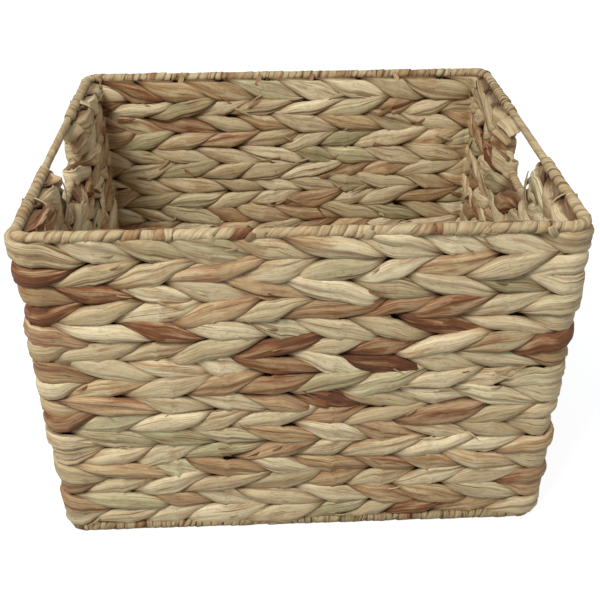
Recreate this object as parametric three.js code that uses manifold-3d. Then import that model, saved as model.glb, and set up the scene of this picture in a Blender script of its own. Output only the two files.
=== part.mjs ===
// A rectangular storage basket: water hyacinth stalks twined round a welded wire frame.
// Millimetres, +Z up. The origin is the middle of the footprint, on the ground.
// X runs along the long walls, Y from the front wall to the back wall.

import * as THREE from 'three';
import { mergeVertices } from 'three/addons/utils/BufferGeometryUtils.js';
import Module from 'manifold-3d';

const wasm = await Module();
wasm.setup();

// Overall sizes, measured over the weave at the height of the rim
const width = 400;
const depth = 346;
const height = 276;
const taper = 5; // how far each wall leans in, from the rim down to the ground

// Clearances
const gap = 0.3; // between pieces that rest on each other
const uprightPlay = 0.5; // between an upright and the strands that pass on each side of it

// Wire frame
const frameWireRadius = 2.25;
const uprightRadius = 1.3;
const frontUprights = 8; // between two corner posts
const sideUprights = 7;
const frameInset = 4.5; // from the outer face of the weave to the middle of the rim wire
const frameCornerRadius = 12;
const uprightBend = 5;

// Strips of leaf wound round the wires
const rimBindingThickness = 1.35;
const gripBindingThickness = 0.6;
const handleBindingThickness = 1.2;

// Weave
const courseCount = 16;
const crown = 3.5; // how far a course swells beyond the crease between two courses
const innerCornerRadius = 3;
const strandBridge = 6; // where the outer and the inner strand of a course meet at a corner

// Handles: an opening in each short wall, under the rim, which is the grip
const interruptedCourses = 3;
const handleHalfWidth = 52;
const handleWireRadius = 2;
const handleRoundness = 0.7; // 1 is a half ellipse, towards 0 it becomes a rectangle

// Floor
const floorClearance = 0.6; // the mat hangs this far above the ground

// Faces round each section, and points along each bend
const frameSides = 8;
const uprightSides = 6;
const cornerSegments = 3;
const handleSteps = 18;

// Sizes that follow
const bindingBore = frameWireRadius + gap;
const rimBindingRadius = bindingBore + rimBindingThickness;
const gripBindingRadius = bindingBore + gripBindingThickness;
const handleBindingBore = handleWireRadius + gap;
const handleBindingRadius = handleBindingBore + handleBindingThickness;
const uprightInset = frameInset + rimBindingRadius + gap + uprightRadius;
const wallThickness = 2 * uprightInset;
const outerCornerRadius = frameCornerRadius + frameInset;
const channelHalfWidth = uprightRadius + uprightPlay;
const rimHeight = height - rimBindingRadius;
const baseHeight = rimBindingRadius;
const weaveBottom = 2 * rimBindingRadius + gap;
const weaveTop = height - 2 * rimBindingRadius;
const coursePitch = (weaveTop - weaveBottom) / courseCount;
const courseHeight = coursePitch - gap;

// The outer face of the weave, as half of the width or depth at a height.
const halfWidthAt = (z) => width / 2 - taper * (1 - z / height);
const halfDepthAt = (z) => depth / 2 - taper * (1 - z / height);

// A handle wire hangs from the rim, and its lowest stretch lies on the first whole course.
const firstWholeCourseTop = weaveTop - interruptedCourses * coursePitch - gap / 2;
const handleBarHeight = firstWholeCourseTop + gap + handleBindingRadius;
const handleTipHeight = weaveTop - gap;
const handleDrop = handleTipHeight - handleBarHeight;

const colours = {
  straw: 0xc9b88c,
  tan: 0xb99b6d,
  olive: 0xa8a077,
  binding: 0xc2b583,
  floor: 0xa98e63,
  wire: 0x4a443c,
};

const basket = new THREE.Group();
const materials = new Map();

// One piece of the basket, under its own name.
function addPiece(name, geometry, finish) {
  if (!materials.has(finish)) {
    const metal = finish === 'wire';
    const look = { color: colours[finish], roughness: metal ? 0.5 : 0.75, metalness: metal ? 0.6 : 0 };
    materials.set(finish, new THREE.MeshStandardMaterial({ name: finish, ...look }));
  }
  const piece = new THREE.Mesh(geometry, materials.get(finish).clone());
  piece.name = name;
  basket.add(piece);
}

// Solids and geometry

function solidOf(geometry) {
  const bare = geometry.clone();
  bare.deleteAttribute('normal');
  bare.deleteAttribute('uv');
  const merged = mergeVertices(bare, 1e-4);
  const vertProperties = new Float32Array(merged.attributes.position.array);
  const triVerts = new Uint32Array(merged.index.array);
  return new wasm.Manifold(new wasm.Mesh({ numProp: 3, vertProperties, triVerts }));
}

function geometryOf(solid) {
  const mesh = solid.getMesh();
  const geometry = new THREE.BufferGeometry();
  geometry.setAttribute('position', new THREE.BufferAttribute(mesh.vertProperties, 3));
  geometry.setIndex(new THREE.BufferAttribute(mesh.triVerts, 1));
  geometry.computeVertexNormals();
  return geometry;
}

function boxSolid(low, high) {
  const size = new THREE.Vector3().subVectors(high, low);
  const middle = new THREE.Vector3().addVectors(low, high).multiplyScalar(0.5);
  return solidOf(new THREE.BoxGeometry(...size.toArray()).translate(...middle.toArray()));
}

// A rectangle with round corners, counter-clockwise, as points of the plan.
function roundedRectangle(halfX, halfY, radius, segments) {
  const points = [];
  const corners = [[1, 1], [-1, 1], [-1, -1], [1, -1]];
  corners.forEach(([signX, signY], quarter) => {
    for (let i = 0; i <= segments; i += 1) {
      const angle = (quarter + i / segments) * Math.PI / 2;
      const x = signX * (halfX - radius) + radius * Math.cos(angle);
      const y = signY * (halfY - radius) + radius * Math.sin(angle);
      points.push(new THREE.Vector2(x, y));
    }
  });
  return points;
}

// A regular polygon whose flats touch the circle, with a flat on each axis.
function flatSidedSection(radius, sides) {
  const points = [];
  for (let i = 0; i < sides; i += 1) {
    const angle = (i + 0.5) * 2 * Math.PI / sides;
    const reach = radius / Math.cos(Math.PI / sides);
    points.push(new THREE.Vector2(reach * Math.cos(angle), reach * Math.sin(angle)));
  }
  return points;
}

// A closed solid built of levels, each { z, outline, hole }, from the bottom up. The outline and
// the hole change from level to level; the channels go straight from the bottom to the top.
function stackedSolid(levels, channels = []) {
  const corners = [];
  const addLoop = (loop, z) => {
    const first = corners.length;
    loop.forEach((point) => corners.push(new THREE.Vector3(point.x, point.y, z)));
    return first;
  };
  const bottomZ = levels[0].z;
  const topZ = levels[levels.length - 1].z;
  const outlines = levels.map((level) => addLoop(level.outline, level.z));
  const holes = levels.map((level) => addLoop(level.hole, level.z));
  const channelEnds = channels.map((channel) => [addLoop(channel, bottomZ), addLoop(channel, topZ)]);

  const faces = [];
  const addWall = (lower, upper, count, facesIn) => {
    for (let i = 0; i < count; i += 1) {
      const next = (i + 1) % count;
      const strip = [
        [lower + i, lower + next, upper + next],
        [lower + i, upper + next, upper + i],
      ];
      strip.forEach(([a, b, c]) => faces.push(...(facesIn ? [a, c, b] : [a, b, c])));
    }
  };
  for (let i = 1; i < levels.length; i += 1) {
    addWall(outlines[i - 1], outlines[i], levels[i].outline.length, false);
    addWall(holes[i - 1], holes[i], levels[i].hole.length, true);
  }
  channels.forEach((channel, i) => addWall(...channelEnds[i], channel.length, true));

  const addCap = (level, starts, facesUp) => {
    const loops = [level.outline, level.hole, ...channels];
    const numbers = loops.flatMap((loop, i) => loop.map((point, k) => starts[i] + k));
    THREE.ShapeUtils.triangulateShape(loops[0], loops.slice(1)).forEach(([a, b, c]) => {
      const order = facesUp ? [a, b, c] : [a, c, b];
      faces.push(...order.map((corner) => numbers[corner]));
    });
  };
  const last = levels.length - 1;
  addCap(levels[0], [outlines[0], holes[0], ...channelEnds.map((ends) => ends[0])], false);
  addCap(levels[last], [outlines[last], holes[last], ...channelEnds.map((ends) => ends[1])], true);

  const geometry = new THREE.BufferGeometry().setFromPoints(corners);
  geometry.setIndex(faces);
  geometry.computeVertexNormals();
  return geometry;
}

// A ring of wire, or of binding, that lies level round the basket.
function levelRing(z, radius) {
  const halfX = halfWidthAt(z) - frameInset;
  const halfY = halfDepthAt(z) - frameInset;
  const section = flatSidedSection(radius, frameSides);
  const heights = [...new Set(section.map((point) => point.y.toFixed(6)))].map(Number);
  const levels = heights.sort((a, b) => a - b).map((offset) => {
    const atHeight = section.filter((point) => Math.abs(point.y - offset) < 1e-5);
    const reach = Math.max(...atHeight.map((point) => point.x));
    const loop = (side) => roundedRectangle(
      halfX + side * reach,
      halfY + side * reach,
      frameCornerRadius + side * reach,
      cornerSegments + 1,
    );
    return { z: z + offset, outline: loop(1), hole: loop(-1) };
  });
  return stackedSolid(levels);
}

// A route of given points, which an extrusion follows point by point.
class Route extends THREE.Curve {
  constructor(points) {
    super();
    this.points = points;
  }

  getPoint(t, target = new THREE.Vector3()) {
    const place = t * (this.points.length - 1);
    const index = Math.min(Math.floor(place + 1e-9), this.points.length - 2);
    return target.lerpVectors(this.points[index], this.points[index + 1], place - index);
  }

  getPointAt(u, target) {
    return this.getPoint(u, target);
  }

  getTangentAt(u, target = new THREE.Vector3()) {
    const index = Math.round(u * (this.points.length - 1));
    const here = this.points[index];
    const before = this.points[Math.max(index - 1, 0)];
    const after = this.points[Math.min(index + 1, this.points.length - 1)];
    const arriving = new THREE.Vector3().subVectors(here, before).normalize();
    const leaving = new THREE.Vector3().subVectors(after, here).normalize();
    return target.addVectors(arriving, leaving).normalize();
  }
}

// A bar of a flat-sided section along the points, with a bore through it if one is given.
function barAlong(points, radius, sides, bore = 0) {
  const section = new THREE.Shape(flatSidedSection(radius, sides));
  if (bore > 0) {
    section.holes.push(new THREE.Path(flatSidedSection(bore, sides)));
  }
  const steps = points.length - 1;
  return new THREE.ExtrudeGeometry(section, { steps, extrudePath: new Route(points), bevelEnabled: false });
}

// Wire frame

function buildFrameRings() {
  addPiece('rim_wire', levelRing(rimHeight, frameWireRadius), 'wire');
  addPiece('base_wire', levelRing(baseHeight, frameWireRadius), 'wire');
}

function buildCornerPosts() {
  const bottom = weaveBottom;
  const top = weaveTop - gap;
  const cornerAt = (signX, signY, z) => new THREE.Vector3(
    signX * (halfWidthAt(z) - uprightInset),
    signY * (halfDepthAt(z) - uprightInset),
    z,
  );
  [['front', -1], ['back', 1]].forEach(([yName, signY]) => {
    [['left', -1], ['right', 1]].forEach(([xName, signX]) => {
      const points = [cornerAt(signX, signY, bottom), cornerAt(signX, signY, top)];
      addPiece(`corner_post_${yName}_${xName}`, barAlong(points, uprightRadius, uprightSides), 'wire');
    });
  });
}

// Where the uprights of a wall stand, along the wall: evenly between its two corner posts.
function uprightPlaces(postPlace, count) {
  const pitch = 2 * postPlace / (count + 1);
  return Array.from({ length: count }, (unused, i) => (i + 1) * pitch - postPlace);
}

const frontPlaces = uprightPlaces(halfWidthAt(0) - uprightInset, frontUprights);
const sidePlaces = uprightPlaces(halfDepthAt(0) - uprightInset, sideUprights);

// The wire of a front upright goes on under the floor and up the back wall.
function buildCrossWires() {
  const top = rimHeight;
  const lineAt = (z) => halfDepthAt(z) - uprightInset;
  const bendStart = baseHeight + uprightBend;
  const bendReach = lineAt(bendStart) - uprightBend;
  frontPlaces.forEach((x, number) => {
    const front = [new THREE.Vector3(x, -lineAt(top), top)];
    const bendSteps = cornerSegments + 1;
    for (let i = 0; i <= bendSteps; i += 1) {
      const angle = (i / bendSteps) * Math.PI / 2;
      const y = -bendReach - uprightBend * Math.cos(angle);
      const z = bendStart - uprightBend * Math.sin(angle);
      front.push(new THREE.Vector3(x, y, z));
    }
    const back = front.map((point) => new THREE.Vector3(point.x, -point.y, point.z)).reverse();
    const name = `cross_wire_${String(number + 1).padStart(2, '0')}`;
    addPiece(name, barAlong([...front, ...back], uprightRadius, uprightSides), 'wire');
  });
}

// The middle line of a handle wire on its wall: the place along the wall, and the height.
// Grow moves the line outwards, for what is cut clear of the wire.
function handleLine(grow = 0) {
  return Array.from({ length: handleSteps + 1 }, (unused, i) => {
    const angle = Math.PI * i / handleSteps;
    const along = Math.sign(Math.cos(angle)) * Math.abs(Math.cos(angle)) ** handleRoundness;
    const down = Math.sin(angle) ** handleRoundness;
    const place = -(handleHalfWidth + grow) * along;
    return new THREE.Vector2(place, handleTipHeight - (handleDrop + grow) * down);
  });
}

// How high the middle of the handle wire is, at a place along the wall.
function handleHeightAt(place) {
  const share = Math.abs(place) / handleHalfWidth;
  return handleTipHeight - handleDrop * (1 - share ** (2 / handleRoundness)) ** (handleRoundness / 2);
}

function buildSideWalls() {
  [['left', -1], ['right', 1]].forEach(([side, sign]) => {
    sidePlaces.forEach((y, number) => {
      const underHandle = Math.abs(y) < handleHalfWidth;
      const top = underHandle ? handleHeightAt(y) - handleBindingRadius : rimHeight;
      const points = [baseHeight, top].map(
        (z) => new THREE.Vector3(sign * (halfWidthAt(z) - uprightInset), y, z),
      );
      addPiece(`${side}_upright_${number + 1}`, barAlong(points, uprightRadius, uprightSides), 'wire');
    });
    const route = handleLine().map(
      (point) => new THREE.Vector3(sign * (halfWidthAt(point.y) - frameInset), point.x, point.y),
    );
    addPiece(`handle_wire_${side}`, barAlong(route, handleWireRadius, frameSides), 'wire');
    const binding = barAlong(route, handleBindingRadius, frameSides, handleBindingBore);
    addPiece(`handle_binding_${side}`, binding, 'binding');
  });
}

// Bindings of the rim and of the bottom edge

function buildRimBindings() {
  const ring = solidOf(levelRing(rimHeight, rimBindingRadius));
  const bored = ring.subtract(solidOf(levelRing(rimHeight, bindingBore)));
  const end = handleHalfWidth + gap / 2;
  [['front', -1], ['back', 1]].forEach(([name, sign]) => {
    const ys = [sign * end, sign * depth];
    const low = new THREE.Vector3(-width, Math.min(...ys), 0);
    const high = new THREE.Vector3(width, Math.max(...ys), 2 * height);
    addPiece(`rim_binding_${name}`, geometryOf(bored.intersect(boxSolid(low, high))), 'binding');
  });
  [['left', -1], ['right', 1]].forEach(([name, sign]) => {
    const x = sign * (halfWidthAt(rimHeight) - frameInset);
    const reach = handleHalfWidth - gap / 2;
    const points = [-reach, reach].map((y) => new THREE.Vector3(x, y, rimHeight));
    addPiece(`grip_binding_${name}`, barAlong(points, gripBindingRadius, frameSides, bindingBore), 'binding');
  });
}

// The binding of the bottom edge goes all the way round, and its two ends meet at the back.
function buildBaseBinding() {
  const ring = solidOf(levelRing(baseHeight, rimBindingRadius));
  const bored = ring.subtract(solidOf(levelRing(baseHeight, bindingBore)));
  const slit = boxSolid(new THREE.Vector3(-gap / 2, 0, -height), new THREE.Vector3(gap / 2, depth, height));
  addPiece('base_binding', geometryOf(bored.subtract(slit)), 'binding');
}

// Weave

function rectangleAt(x, y, halfX, halfY) {
  const corners = [[1, 1], [-1, 1], [-1, -1], [1, -1]];
  return corners.map(([signX, signY]) => new THREE.Vector2(x + signX * halfX, y + signY * halfY));
}

// One course: an outer and an inner strand round the basket, which meet at the corners. The
// uprights stand in the four channels between the strands.
function courseGeometry(number) {
  const middle = weaveTop - (number - 0.5) * coursePitch;
  const halfX = halfWidthAt(middle);
  const halfY = halfDepthAt(middle);
  const levels = [-1, -0.6, 0, 0.6, 1].map((share) => {
    const drawnIn = crown * Math.abs(share) ** 2.5;
    const outline = roundedRectangle(
      halfX - drawnIn,
      halfY - drawnIn,
      outerCornerRadius - drawnIn,
      cornerSegments,
    );
    const hole = roundedRectangle(
      halfX - wallThickness + drawnIn,
      halfY - wallThickness + drawnIn,
      innerCornerRadius + drawnIn,
      cornerSegments - 1,
    );
    return { z: middle + share * courseHeight / 2, outline, hole };
  });
  const lineX = halfX - uprightInset;
  const lineY = halfY - uprightInset;
  const longHalf = lineX + channelHalfWidth;
  const shortHalf = lineY - channelHalfWidth - strandBridge;
  const channels = [-1, 1].flatMap((sign) => [
    rectangleAt(0, sign * lineY, longHalf, channelHalfWidth),
    rectangleAt(sign * lineX, 0, channelHalfWidth, shortHalf),
  ]);
  return stackedSolid(levels, channels);
}

// What the two handle openings take out of the short walls.
function handleCut() {
  const clear = handleBindingRadius + gap;
  const line = handleLine(clear);
  const outline = [new THREE.Vector2(line[0].x, 2 * height), ...line];
  outline.push(new THREE.Vector2(line[line.length - 1].x, 2 * height));
  const prism = new THREE.ExtrudeGeometry(new THREE.Shape(outline), {
    depth: 2 * width,
    steps: 1,
    bevelEnabled: false,
  });
  // The outline's own x and y become Y and Z, and the prism runs along X.
  prism.applyMatrix4(new THREE.Matrix4().makeBasis(
    new THREE.Vector3(0, 1, 0),
    new THREE.Vector3(0, 0, 1),
    new THREE.Vector3(1, 0, 0),
  ));
  return solidOf(prism.translate(-width, 0, 0));
}

function buildWeave() {
  const cut = handleCut();
  const finishes = ['straw', 'tan', 'olive'];
  for (let number = 1; number <= courseCount; number += 1) {
    const name = `course_${String(number).padStart(2, '0')}`;
    const finish = finishes[number % finishes.length];
    const geometry = courseGeometry(number);
    if (number > interruptedCourses) {
      addPiece(name, geometry, finish);
    } else {
      const halves = solidOf(geometry).subtract(cut).decompose();
      halves.forEach((half) => {
        const side = half.boundingBox().min[1] < -handleHalfWidth ? 'front' : 'back';
        addPiece(`${name}_${side}`, geometryOf(half), finish);
      });
    }
  }
}

// Floor: a woven mat that holds the cross wires, each in a channel of its own.
function buildFloor() {
  const halfX = halfWidthAt(baseHeight) - uprightInset - uprightRadius - 2 * gap;
  const halfY = halfDepthAt(baseHeight) - uprightInset - uprightBend - gap;
  const top = weaveBottom - gap / 2;
  const section = new THREE.Shape([
    new THREE.Vector2(-halfX, floorClearance),
    new THREE.Vector2(halfX, floorClearance),
    new THREE.Vector2(halfX, top),
    new THREE.Vector2(-halfX, top),
  ]);
  frontPlaces.forEach((x) => {
    const ring = flatSidedSection(uprightRadius + gap, uprightSides);
    section.holes.push(new THREE.Path(ring.map((point) => new THREE.Vector2(point.x + x, point.y + baseHeight))));
  });
  const mat = new THREE.ExtrudeGeometry(section, { depth: 2 * halfY, steps: 1, bevelEnabled: false });
  mat.rotateX(Math.PI / 2);
  addPiece('floor_mat', mat.translate(0, halfY, 0), 'floor');
}

buildFrameRings();
buildCornerPosts();
buildCrossWires();
buildSideWalls();
buildRimBindings();
buildBaseBinding();
buildWeave();
buildFloor();

export default basket;
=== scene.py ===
"""A woven storage basket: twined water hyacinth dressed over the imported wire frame.

Lengths are in metres. X runs along the long walls, Y from the front wall to the back wall, and Z
is up. The origin is the middle of the footprint, on the ground.
"""

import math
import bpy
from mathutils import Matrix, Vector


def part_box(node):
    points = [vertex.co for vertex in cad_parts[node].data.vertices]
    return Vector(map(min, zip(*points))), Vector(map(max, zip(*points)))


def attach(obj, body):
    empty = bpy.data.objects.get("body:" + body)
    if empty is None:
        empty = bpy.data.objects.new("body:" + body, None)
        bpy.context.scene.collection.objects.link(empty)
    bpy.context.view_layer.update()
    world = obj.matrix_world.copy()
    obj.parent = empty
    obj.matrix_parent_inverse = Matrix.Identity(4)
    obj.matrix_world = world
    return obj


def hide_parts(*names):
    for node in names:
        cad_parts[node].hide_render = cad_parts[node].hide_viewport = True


bl_info = {
    "name": "Woven storage basket",
    "version": (1, 0, 0),
    "blender": (4, 5, 0),
    "location": "View3D > Sidebar > Basket",
    "description": "Weaves water hyacinth over the basket's wire frame and sets the stage",
    "category": "Object",
}

import bpy
import numpy as np
from bpy.props import FloatProperty, FloatVectorProperty, IntProperty, PointerProperty
from mathutils import Euler, Vector

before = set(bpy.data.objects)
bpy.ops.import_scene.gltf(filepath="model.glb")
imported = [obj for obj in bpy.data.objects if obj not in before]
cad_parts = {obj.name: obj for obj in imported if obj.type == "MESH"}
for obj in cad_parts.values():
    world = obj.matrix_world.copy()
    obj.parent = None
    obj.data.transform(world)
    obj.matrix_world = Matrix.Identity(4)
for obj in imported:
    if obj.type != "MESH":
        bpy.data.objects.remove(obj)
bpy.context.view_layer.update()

MM = 0.001
STRAND_MAP = "Strand"  # UV map: metres along the leaf, metres round it

# How the frame is set out. The wires are CAD nodes, so these repeat what their boxes can't give.
WALL_HALF = 10 * MM  # from the middle line of a wall to either face
RIM_INSET = 4.5 * MM  # from the outer face to the middle of the rim, base and handle wires
RIM_CORNER = 12 * MM
PATH_CORNER = 9 * MM
INNER_CORNER = 2.5 * MM
CORNER_POST_OFFSET = 3.7 * MM  # how far a corner post stands outside the weave's middle line
COURSES = 16
OPEN_COURSES = 3  # courses that the handle openings interrupt
HANDLE_HALF = 52 * MM
HANDLE_ROUNDNESS = 0.7  # 1 is a half ellipse, towards 0 it becomes a rectangle
HANDLE_WIRE_RADIUS = 2 * MM
HANDLE_POINTS = 181
CROSS_WIRES = 8
SIDE_UPRIGHTS = 7

# How the weave lies on the frame
UPRIGHT_ROOM = 1.5 * MM  # what an upright takes up between the two strands of a wall
CROSS_WIRE_ROOM = 1.1 * MM  # the same for a cross wire in the floor
CORNER_BEND = 14 * MM  # how far from its corner post a strand starts to swing out
END_COURSE_SHIFT = {1: 0.8 * MM, COURSES: -1.2 * MM}  # towards the rim, and the bottom edge
END_COURSE_GROWTH = 1.4 * MM  # of the half height, so that these two courses reach the bindings
LOWEST_LEAF = 3.5 * MM  # above the ground
RIM_COVER = 1.5 * MM  # how far below the middle of the rim wire the leaves end
JAMB_PIVOT = 5 * MM  # how far outside the middle line a strand turns round a handle wire
JAMB_CLEAR = 14 * MM  # least distance from a jamb to the next upright that a strand goes round
LOOSE_CLEAR = 24 * MM  # least distance from a jamb to the root of a loose end
TURN_SQUASH = 0.8  # how round a strand turns back: 1 is a half circle
FLOOR_ROWS = 19
FLOOR_OVERLAP = 0.58  # half height of a floor strand, as a share of the distance between rows
STRIP_THICKNESS = 0.9 * MM  # of the strips that hang from the rim or lie over the jambs
LOOSE_THICKNESS = 0.7 * MM  # of the loose ends between the leaves
LOOSE_ENDS = (15, 9)  # on each face of a whole course, and of half a course
WOBBLE = 0.5 * MM  # about how far a course rises and falls
JITTER = 3.8 * MM  # about how far from the middle between two uprights the strands cross
STRIP_RINGS = 11
STRIP_POINTS = 10

# How the bindings are wound
RIM_EDGE = 1.5  # height of the edges on the rim, beside those on the bottom edge
GRIP_EDGE = 0.2
HANDLE_EDGE = 0.3
GRIP_LAP = 10 * MM  # of a grip's winding under the rim's, at both ends
HANDLE_GAP = 1.5 * MM  # from both ends of a handle wire to its winding
HANDLE_SLACK = 0.3 * MM  # how much thinner a handle's winding is than its CAD node
LEAST_HEIGHT = 0.1 * MM  # of a winding above the ground

# Leaves that follow the photograph
LEFT_REACH = 160 * MM  # both ways from the middle of the left wall, whose leaves are drawn browner as painted shade
LEFT_WALL_SHADE = 0.14  # what the tone of those leaves gains: painted shade, as the inside of the left wall lies in shade
BROWNEST = 0.68  # the tone up to which it does
SET_LEAF_REACH = 30 * MM  # how far from its place in the photograph a leaf may lie


# Frame sizes read from the CAD boxes


def span(node, axis):
    low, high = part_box(node)
    return low[axis], high[axis]


def middle(node, axis):
    low, high = span(node, axis)
    return (low + high) / 2


def half_span(node, axis):
    low, high = span(node, axis)
    return (high - low) / 2


def cross_wire_places():
    return sorted(middle(f"cross_wire_{n:02d}", 0) for n in range(1, CROSS_WIRES + 1))


RIM_Z = middle("rim_wire", 2)
BASE_Z = middle("base_wire", 2)
RIM_HALF = (span("rim_binding_front", 0)[1], span("rim_binding_back", 1)[1])
BASE_HALF = (span("base_binding", 0)[1], span("base_binding", 1)[1])


def half_extents(z):
    """Half of the outer width and depth of the woven wall at a height."""
    low_z, high_z = BASE_Z, RIM_Z
    share = (np.asarray(z) - low_z) / (high_z - low_z)
    reach = (RIM_HALF[0] - BASE_HALF[0], RIM_HALF[1] - BASE_HALF[1])
    return BASE_HALF[0] + reach[0] * share, BASE_HALF[1] + reach[1] * share


# Settings that show in the sidebar


class WeaveSettings(bpy.types.PropertyGroup):
    """Shape of the twined strands"""

    strand_height: FloatProperty(
        name="Strand height",
        description="Height of a flattened strand where it passes an upright",
        default=19.0 * MM,
        unit="LENGTH",
    )
    tip_fall: FloatProperty(
        name="Tip fall",
        description="The higher, the longer a leaf stays on the outside before its tip dives in",
        default=3.3,
        min=1.2,
        max=6.0,
    )
    belly: FloatProperty(
        name="Belly",
        description="How far a leaf bulges over the next course, as a share of its half height",
        default=0.18,
        subtype="FACTOR",
        min=0.0,
        max=0.4,
    )
    unevenness: FloatProperty(
        name="Unevenness",
        description="How much places and widths differ from leaf to leaf",
        default=1.3,
        min=0.0,
        max=2.0,
    )
    seed: IntProperty(name="Seed", description="Choice of leaves", default=7)


class BindingSettings(bpy.types.PropertyGroup):
    """Bands of leaf wound round the wires"""

    rim_band: FloatProperty(
        name="Rim band",
        description="Width of one turn on the rim",
        default=10 * MM,
        unit="LENGTH",
    )
    grip_band: FloatProperty(
        name="Grip band",
        description="Width of one turn on the grips",
        default=24 * MM,
        unit="LENGTH",
    )
    handle_band: FloatProperty(
        name="Handle band",
        description="Width of one turn on the handle bars",
        default=9 * MM,
        unit="LENGTH",
    )
    base_band: FloatProperty(
        name="Base band",
        description="Width of one turn on the bottom edge",
        default=7 * MM,
        unit="LENGTH",
    )
    edge: FloatProperty(
        name="Band edge",
        description="Height of the edge where a turn lies over the one before",
        default=0.5 * MM,
        unit="LENGTH",
    )


class ColourSettings(bpy.types.PropertyGroup):
    """Colours of the leaf and the wire"""

    straw: FloatVectorProperty(
        name="Straw",
        description="Pale leaf",
        subtype="COLOR",
        default=(0.615, 0.52, 0.335),
        min=0,
        max=1,
    )
    tan: FloatVectorProperty(
        name="Tan",
        description="Common leaf",
        subtype="COLOR",
        default=(0.455, 0.31, 0.16),
        min=0,
        max=1,
    )
    rose: FloatVectorProperty(
        name="Rose",
        description="Pinkish leaf",
        subtype="COLOR",
        default=(0.40, 0.27, 0.16),
        min=0,
        max=1,
    )
    olive: FloatVectorProperty(
        name="Olive",
        description="Leaf dried green",
        subtype="COLOR",
        default=(0.37, 0.345, 0.19),
        min=0,
        max=1,
    )
    rust: FloatVectorProperty(
        name="Rust",
        description="Orange-brown leaf",
        subtype="COLOR",
        default=(0.25, 0.108, 0.042),
        min=0,
        max=1,
    )
    chestnut: FloatVectorProperty(
        name="Chestnut",
        description="Darkest leaf",
        subtype="COLOR",
        default=(0.105, 0.038, 0.02),
        min=0,
        max=1,
    )
    # This dark colour is mostly painted shade: where leaf tips dive in, along the edges of leaves and
    # wound turns, and in the folds. It also gives the real dry brown leaf edges.
    crease: FloatVectorProperty(
        name="Crease",
        description="Dirt and dry edges between leaves",
        subtype="COLOR",
        default=(0.19, 0.095, 0.05),
        min=0,
        max=1,
    )
    wire: FloatVectorProperty(
        name="Wire",
        description="Painted frame wire",
        subtype="COLOR",
        default=(0.06, 0.045, 0.035),
        min=0,
        max=1,
    )


class StageSettings(bpy.types.PropertyGroup):
    """Floor, light and camera"""

    floor: FloatVectorProperty(
        name="Floor",
        description="Colour of the floor",
        subtype="COLOR",
        default=(0.31, 0.31, 0.31),
        min=0,
        max=1,
    )
    key_power: FloatProperty(
        name="Key light",
        description="Power of the key light",
        default=42.0,
        unit="POWER",
    )
    fill_power: FloatProperty(
        name="Fill light",
        description="Power of the fill light",
        default=3.0,
        unit="POWER",
    )
    sky: FloatProperty(name="Sky", description="Strength of the even light around", default=0.54)
    camera_place: FloatVectorProperty(
        name="Camera place",
        description="Where the camera stands",
        subtype="TRANSLATION",
        default=(-0.0269, -0.7235, 0.5586),
    )
    camera_tilt: FloatVectorProperty(
        name="Camera tilt",
        description="Rotation of the camera",
        subtype="EULER",
        default=(math.radians(58.57), math.radians(0.08), math.radians(-2.514)),
    )
    lens: FloatProperty(name="Lens", description="Focal length in millimetres", default=55.66)


# Meshes


def signed_volume(vertices, faces):
    """Volume inside quads or triangles, negative if they face inwards."""
    total = 0.0
    for k in range(1, faces.shape[1] - 1):
        a, b, c = vertices[faces[:, 0]], vertices[faces[:, k]], vertices[faces[:, k + 1]]
        total += np.einsum("ij,ij->i", a, np.cross(b, c)).sum() / 6
    return total


def add_object(name, vertices, faces, corner_map, tones, material):
    """One closed, smooth mesh object with its strand map and its values for each vertex.

    faces and corner_map are lists of blocks. All faces of a block have as many corners, and its
    corner map holds a place of the strand map for each of them."""
    blocks = [(np.asarray(f), np.asarray(c)) for f, c in zip(faces, corner_map)]
    if sum(signed_volume(vertices, f) for f, _ in blocks) < 0:
        blocks = [(f[:, ::-1], c[:, ::-1]) for f, c in blocks]
    mesh = bpy.data.meshes.new(name)
    mesh.from_pydata(vertices.tolist(), [], [q for f, _ in blocks for q in f.tolist()])
    layer = mesh.uv_layers.new(name=STRAND_MAP)
    places = np.concatenate([c.reshape(-1, 2) for _, c in blocks])
    layer.data.foreach_set("uv", places.astype(np.float32).ravel())
    for key, values in tones.items():
        attribute = mesh.attributes.new(key, "FLOAT", "POINT")
        attribute.data.foreach_set("value", np.asarray(values, np.float32).ravel())
    mesh.polygons.foreach_set("use_smooth", np.ones(len(mesh.polygons), bool))
    mesh.materials.append(material)
    mesh.update()
    made = bpy.data.objects.new(name, mesh)
    bpy.context.scene.collection.objects.link(made)
    return made


def grid_faces(rings, around, closed):
    """Quads of a tube with this many rings, each of so many points, and their corner numbers."""
    m, i = np.meshgrid(np.arange(rings if closed else rings - 1), np.arange(around), indexing="ij")
    m, i = m.ravel(), i.ravel()
    steps = [(m, i), (m, i + 1), (m + 1, i + 1), (m + 1, i)]
    quads = np.stack([(a % rings) * around + b % around for a, b in steps], axis=1)
    corners = np.stack([np.stack([a, b], axis=1) for a, b in steps], axis=1)
    return quads, corners


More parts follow.
